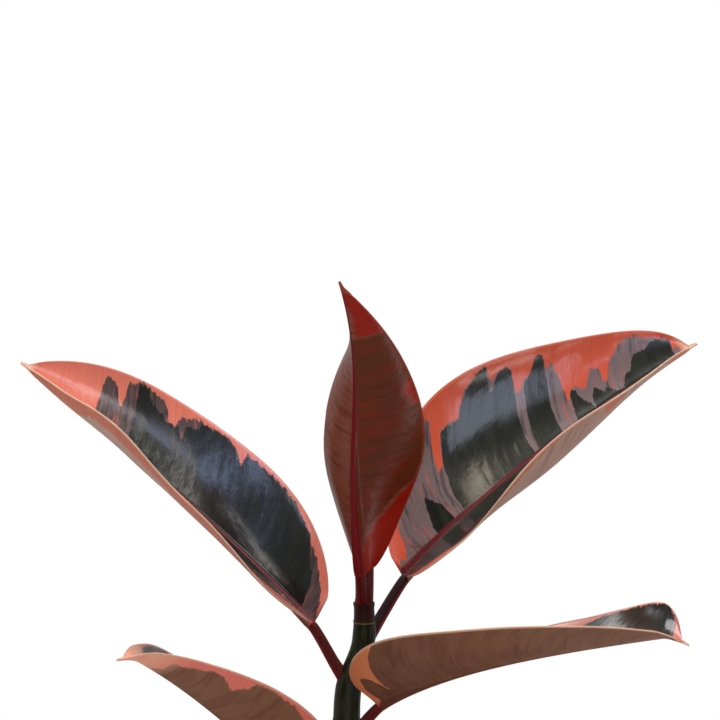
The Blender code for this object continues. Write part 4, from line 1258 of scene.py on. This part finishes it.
def leaf_skin(leaf):
    """Waxy leaf skin: glossy above, satin below, dark green breaking up into grey-red and coral zones.

    The zones end in small teeth along the side veins, which also show as fine lines in the gloss.
    """
    codes = {**PALETTES[leaf["palette"]], **leaf["colours"]}
    colours = {part: linear(code) for part, code in codes.items()}
    finish = dict(IOR=1.47, Specular_IOR_Level=leaf["specular"], Coat_Roughness=0.15, Coat_IOR=1.45)
    material, tree, shader = new_material(leaf["name"] + "_skin", **finish)
    veins = add(tree, "Attribute", {}, attribute_name="veins").outputs["Vector"]
    _, out, side = add(tree, "SeparateXYZ", {0: veins}).outputs
    outline = add(tree, "Attribute", {}, attribute_name="outline").outputs["Vector"]
    along, across, stalk = add(tree, "SeparateXYZ", {0: outline}).outputs
    dark_depth = add(tree, "Attribute", {}, attribute_name="dark").outputs["Fac"]
    mid_depth = add(tree, "Attribute", {}, attribute_name="mid").outputs["Fac"]

    def streaks(size, shift):
        """Noise drawn out along the side veins."""
        width, length, detail = size
        place = {"Scale": (1 / width, 1 / length, 0.0), "Location": (leaf["seed"], shift, shift * 3.1)}
        spot = add(tree, "Mapping", {"Vector": veins, **place})
        return add(tree, "TexNoise", {"Vector": spot, "Scale": 1.0, "Detail": detail})

    def toothed(depth, shift):
        """How much of a zone shows, with small teeth at its border."""
        for size, reach, moved in ((TEETH, TEETH_REACH, shift), (FINE_TEETH, FINE_TEETH_REACH, shift + 4.0)):
            teeth = add(tree, "Math", {0: streaks(size, moved), 1: 0.5}, operation="SUBTRACT")
            depth = add(tree, "Math", {0: teeth, 1: reach, 2: depth}, operation="MULTIPLY_ADD")
        return add(tree, "MapRange", {0: depth, 1: -leaf["softness"], 2: leaf["softness"]}, **SOFTLY)

    in_dark = toothed(dark_depth, 1.0)
    in_mid = toothed(mid_depth, 7.0)
    upper_share = add(tree, "MapRange", {0: side, 1: -0.3, 2: 0.3}, **SOFTLY)
    blotched = add(tree, "MapRange", {0: streaks(BLOTCHES, 29.0), 1: 0.40, 2: 0.62}, **SOFTLY)
    mixed_dark = add(tree, "MapRange", {0: streaks(MIXED, 13.0), 1: 0.52, 2: 0.66, 4: 0.55}, **SOFTLY)
    mixed_coral = add(tree, "MapRange", {0: streaks(MIXED, 19.0), 1: 0.56, 2: 0.70, 4: 0.30}, **SOFTLY)
    mixed_coral = add(tree, "Math", {0: mixed_coral, 1: upper_share}, operation="MULTIPLY")
    tones = []
    for face in ("under_", ""):
        coral, mid, dark, blotch = [colours[face + zone] for zone in ("coral", "mid", "dark", "blotch")]
        dark = add(tree, "Mix", {0: blotched, 6: dark, 7: blotch}, **IN_COLOUR)
        mid = add(tree, "Mix", {0: mixed_coral, 6: mid, 7: coral}, **IN_COLOUR)
        mid = add(tree, "Mix", {0: mixed_dark, 6: mid, 7: dark}, **IN_COLOUR)
        shown = add(tree, "Mix", {0: in_mid, 6: coral, 7: mid}, **IN_COLOUR)
        tones.append(add(tree, "Mix", {0: in_dark, 6: shown, 7: dark}, **IN_COLOUR))
    blade = add(tree, "Mix", {0: upper_share, 6: tones[0], 7: tones[1]}, **IN_COLOUR)
    # Slightly lighter and darker streaks along the side veins, and painted shade in a few thin creases along
    # them
    streaky = streaks(STREAKS, 11.0)
    contrast = leaf["streaks"]
    shade = add(tree, "MapRange", {0: streaky, 1: 0.3, 2: 0.7, 3: 1 - contrast, 4: 1 + contrast})
    crease_shade = add(tree, "MapRange", {0: streaks(CREASE_SHADE_LINES, 23.0), 1: 0.72, 2: 0.78, 4: 0.5}, **SOFTLY)
    crease_shade = add(tree, "Math", {0: crease_shade, 1: in_dark}, operation="MULTIPLY")
    crease_shade = add(tree, "Math", {0: 1.0, 1: crease_shade}, operation="SUBTRACT")
    shade = add(tree, "Math", {0: shade, 1: crease_shade}, operation="MULTIPLY")
    shaded = add(tree, "VectorMath", {0: blade, "Scale": shade}, operation="SCALE")
    # The midrib: a thin red line in the groove above, the whole ridge below
    from_rib = add(tree, "Math", {0: out}, operation="ABSOLUTE")
    to_tip = add(tree, "Math", {0: 1.0, 1: along}, operation="SUBTRACT")
    to_tip = add(tree, "Math", {0: to_tip, 1: 2.0}, operation="POWER")
    rib_share = []
    for wider, tip, softness in (
        (RIDGE_WIDENING, RIDGE_TIP, RIDGE_SOFTNESS),
        (leaf["midrib"], LINE_TIP, LINE_SOFTNESS),
    ):
        half = add(tree, "Math", {0: to_tip, 1: wider, 2: tip}, operation="MULTIPLY_ADD")
        reached = add(tree, "Math", {0: from_rib, 1: half}, operation="DIVIDE")
        rib_share.append(add(tree, "MapRange", {0: reached, 1: 1 + softness, 2: 1 - softness}, **SOFTLY))
    rib_share = add(tree, "Mix", {0: upper_share, 2: rib_share[0], 3: rib_share[1]})
    rib_colours = {6: colours["rib_below"], 7: colours["rib_above"]}
    rib_colour = add(tree, "Mix", {0: upper_share, **rib_colours}, **IN_COLOUR)
    ribbed = add(tree, "Mix", {0: rib_share, 6: shaded, 7: rib_colour}, **IN_COLOUR)
    # The fine pale edge, which widens into the pale tail at the tip
    flat = add(tree, "Math", {0: side}, operation="ABSOLUTE")
    rim = add(tree, "MapRange", {0: flat, 1: 0.99, 2: 0.80}, **SOFTLY)
    band = add(tree, "MapRange", {0: across, 1: 0.975, 2: 0.995, 4: 0.7}, **SOFTLY)
    edge = add(tree, "Math", {0: rim, 1: band}, operation="MAXIMUM")
    right, left = leaf["paleness"]
    paleness = add(tree, "MapRange", {0: out, 1: -1 * MM, 2: 1 * MM, 3: right, 4: left}, **SOFTLY)
    edge = add(tree, "Math", {0: edge, 1: paleness}, operation="MULTIPLY")
    starts, full = leaf["tail"]
    tail = add(tree, "MapRange", {0: along, 1: starts, 2: full, 4: 0.8}, **SOFTLY)
    edge = add(tree, "Math", {0: edge, 1: tail}, operation="MAXIMUM")
    off_stalk = add(tree, "Math", {0: 1.0, 1: stalk}, operation="SUBTRACT")
    edge = add(tree, "Math", {0: edge, 1: off_stalk}, operation="MULTIPLY")
    edged = add(tree, "Mix", {0: edge, 6: ribbed, 7: colours["edge"]}, **IN_COLOUR)
    # The stalk: nearly black above and deep red below
    above = add(tree, "MapRange", {0: side, 1: -0.35, 2: 0.45}, **SOFTLY)
    stalk_colours = {6: colours["stalk_below"], 7: colours["stalk_above"]}
    stalk_colour = add(tree, "Mix", {0: above, **stalk_colours}, **IN_COLOUR)
    stalked = add(tree, "Mix", {0: stalk, 6: edged, 7: stalk_colour}, **IN_COLOUR)
    # Gloss: waxy above, satin below, uneven along the veins
    waxy = add(tree, "Math", {0: upper_share, 1: off_stalk}, operation="MULTIPLY")
    gloss = add(tree, "MapRange", {0: waxy, 3: leaf["under_roughness"], 4: WAXY_ROUGHNESS})
    uneven = add(tree, "Math", {0: streaky, 1: 0.08, 2: gloss}, operation="MULTIPLY_ADD")
    coat = add(tree, "MapRange", {0: waxy, 3: leaf["under_coat"], 4: WAXY_COAT})
    relief = add(tree, "Math", {0: streaks(STRIAE, 17.0), 1: 0.4}, operation="MULTIPLY")
    for size, share in ((MOTTLE, 0.9), (SWELLS, 2.6)):
        spots = add(tree, "TexNoise", {"Vector": veins, "Scale": 1 / size, "Detail": 1.0})
        relief = add(tree, "Math", {0: spots, 1: share, 2: relief}, operation="MULTIPLY_ADD")
    bumped = add(tree, "Bump", {"Height": relief, "Strength": 1.0, "Distance": leaf["relief"]})
    feed(shader, {"Base Color": stalked, "Roughness": uneven, "Coat Weight": coat})
    feed(shader, {"Normal": bumped, "Coat Normal": bumped})
    return material


# How far the dark zone of a lower leaf reaches, and how much further its grey-red zone does
LOW_DARK_REACH = 0.84
LOW_MID_WIDER = 1.12
LOW_MID_REACH = 0.97
for number, given in enumerate(LEAVES):
    leaf = {**LEAF_DEFAULTS, **given, "seed": 3.7 * number + 1.3}
    leaf["length"] = blade_length(leaf)
    draw = random.Random(number)
    for half in ("left", "right"):
        for bend in ("fold", "curl"):
            leaf.setdefault(f"{half}_{bend}", leaf.get(bend))
        if "left_dark" in given:
            for zone in ("dark", "mid"):
                outline = given[f"{half}_{zone}"]
                leaf[f"{half}_{zone}"] = [(start / 1000, reach / 100) for start, reach in outline]
        else:
            dark = drawn_zone(draw, LOW_DARK_REACH)
            mid = [(start, min(reach * LOW_MID_WIDER, LOW_MID_REACH)) for start, reach in dark]
            leaf[half + "_dark"] = dark
            leaf[half + "_mid"] = mid
    rows = leaf_rows(leaf)
    built = rolled_tube(len(rows[0]), len(rows) - 1, lambda i, j: rows[j][i], ("veins", "outline"))
    piece_name = leaf["name"].replace("leaf", "rubber_leaf")
    piece = place_piece(built, piece_name, leaf_skin(leaf), leaf["name"], sharp_degrees=60)
    paint_zones(piece.data, leaf)

# Studio
# A small round pale floor that fades to white, soft lights above and on both sides, and the camera in
# front of the plant's top, a little above it.
FLOOR_RADIUS = 0.86
# Distances from the middle where the floor starts to fade and where it is all white
FLOOR_FADE = {1: 0.30, 2: 0.80}
floor_mesh = bmesh.new()
bmesh.ops.create_circle(floor_mesh, cap_ends=True, segments=96, radius=FLOOR_RADIUS)
floor_data = bpy.data.meshes.new("studio_floor")
floor_mesh.to_mesh(floor_data)
floor_mesh.free()
floor = bpy.data.objects.new("studio_floor", floor_data)
bpy.context.collection.objects.link(floor)
floor_paint, tree, shader = new_material("studio_floor", Roughness=0.9, Specular_IOR_Level=0.1)
shader.inputs["Base Color"].default_value = linear("#EDEBE8")
where = add(tree, "TexCoord", {}).outputs["Object"]
reach = add(tree, "VectorMath", {0: where}, operation="LENGTH")
fade = add(tree, "MapRange", {0: reach, **FLOOR_FADE}, **SOFTLY)
to_eye = add(tree, "LightPath", {}).outputs["Is Camera Ray"]
lit = add(tree, "Mix", {0: to_eye, 2: 0.5, 3: 1.0})
glow = add(tree, "Emission", {"Color": (1, 1, 1, 1), "Strength": lit})
mixed = add(tree, "MixShader", {0: fade, 1: shader, 2: glow})
feed(tree.nodes["Material Output"], {"Surface": mixed})
floor_data.materials.append(floor_paint)

TARGET = Vector((0.0, 0.0, 0.432))
CAMERA_DISTANCE = 1.8
CAMERA_RISE = 10
CAMERA_LENS = 200
CAMERA_SENSOR = 36

# Each light: name, bearing from the front towards the right, elevation, roll, distance, width, height, power
# in watts and colour. They stand round the middle of the plant's top and face it.
LIGHTS = (
    ("overhead_softbox", 165, 82, 0, 1.7, 1.3, 1.3, 29.0, "#FFFFFF"),
    ("window_right", 32, 52, 17, 1.8, 1.55, 0.16, 4.4, "#BCD0FF"),
    ("side_right", 79, 47, 0, 1.8, 0.80, 0.18, 2.5, "#FFF8F0"),
    ("window_left", -64, 55, 0, 1.8, 0.60, 0.26, 3.3, "#FFF3DC"),
    ("front_panel", -9, 34, -58, 1.8, 0.90, 0.28, 3.0, "#DCE6FF"),
    ("eye_panel", 2, 11, 0, 1.9, 0.26, 0.12, 0.6, "#FFFFFF"),
    ("low_panel", 0, -18, 0, 1.9, 0.25, 0.5, 1.5, "#FFFFFF"),
    ("back_panel", -150, 30, 0, 1.9, 1.2, 0.6, 5.0, "#FFFFFF"),
)
for light_name, bearing, elevation, roll, distance, wide, tall, power, tint in LIGHTS:
    turn = math.radians(bearing)
    rise = math.radians(elevation)
    away = Vector((math.sin(turn) * math.cos(rise), -math.cos(turn) * math.cos(rise), math.sin(rise)))
    lamp = bpy.data.lights.new(light_name, "AREA")
    lamp.shape = "RECTANGLE"
    lamp.size = wide
    lamp.size_y = tall
    lamp.energy = power
    lamp.color = linear(tint)[:3]
    light = bpy.data.objects.new(light_name, lamp)
    light.location = TARGET + away * distance
    facing = (-away).to_track_quat("-Z", "Y").to_matrix()
    light.rotation_euler = (facing @ Matrix.Rotation(math.radians(roll), 3, "Z")).to_euler()
    bpy.context.collection.objects.link(light)

# The room: white to the camera, dim above and bright below, as in a white sweep lit from above
ROOM_ABOVE = 0.24
ROOM_BELOW = 0.52
world = bpy.data.worlds.new("white_room")
world.use_nodes = True
tree = world.node_tree
looking = add(tree, "TexCoord", {}).outputs["Generated"]
upward = add(tree, "SeparateXYZ", {0: looking}).outputs["Z"]
room = add(tree, "MapRange", {0: upward, 1: -0.25, 2: 0.15, 3: ROOM_BELOW, 4: ROOM_ABOVE})
seen = add(tree, "LightPath", {}).outputs["Is Camera Ray"]
strength = add(tree, "Mix", {0: seen, 2: room, 3: 1.0})
feed(tree.nodes["Background"], {"Color": (1, 1, 1, 1), "Strength": strength})
bpy.context.scene.world = world

camera_data = bpy.data.cameras.new("camera")
camera_data.lens = CAMERA_LENS
camera_data.sensor_width = CAMERA_SENSOR
camera = bpy.data.objects.new("camera", camera_data)
rise = math.radians(CAMERA_RISE)
camera.location = TARGET + Vector((0.0, -math.cos(rise), math.sin(rise))) * CAMERA_DISTANCE
camera.rotation_euler = (math.radians(90 - CAMERA_RISE), 0.0, 0.0)
bpy.context.collection.objects.link(camera)
bpy.context.scene.camera = camera
bpy.context.scene.view_settings.view_transform = "Standard"
bpy.context.scene.view_settings.look = "None"
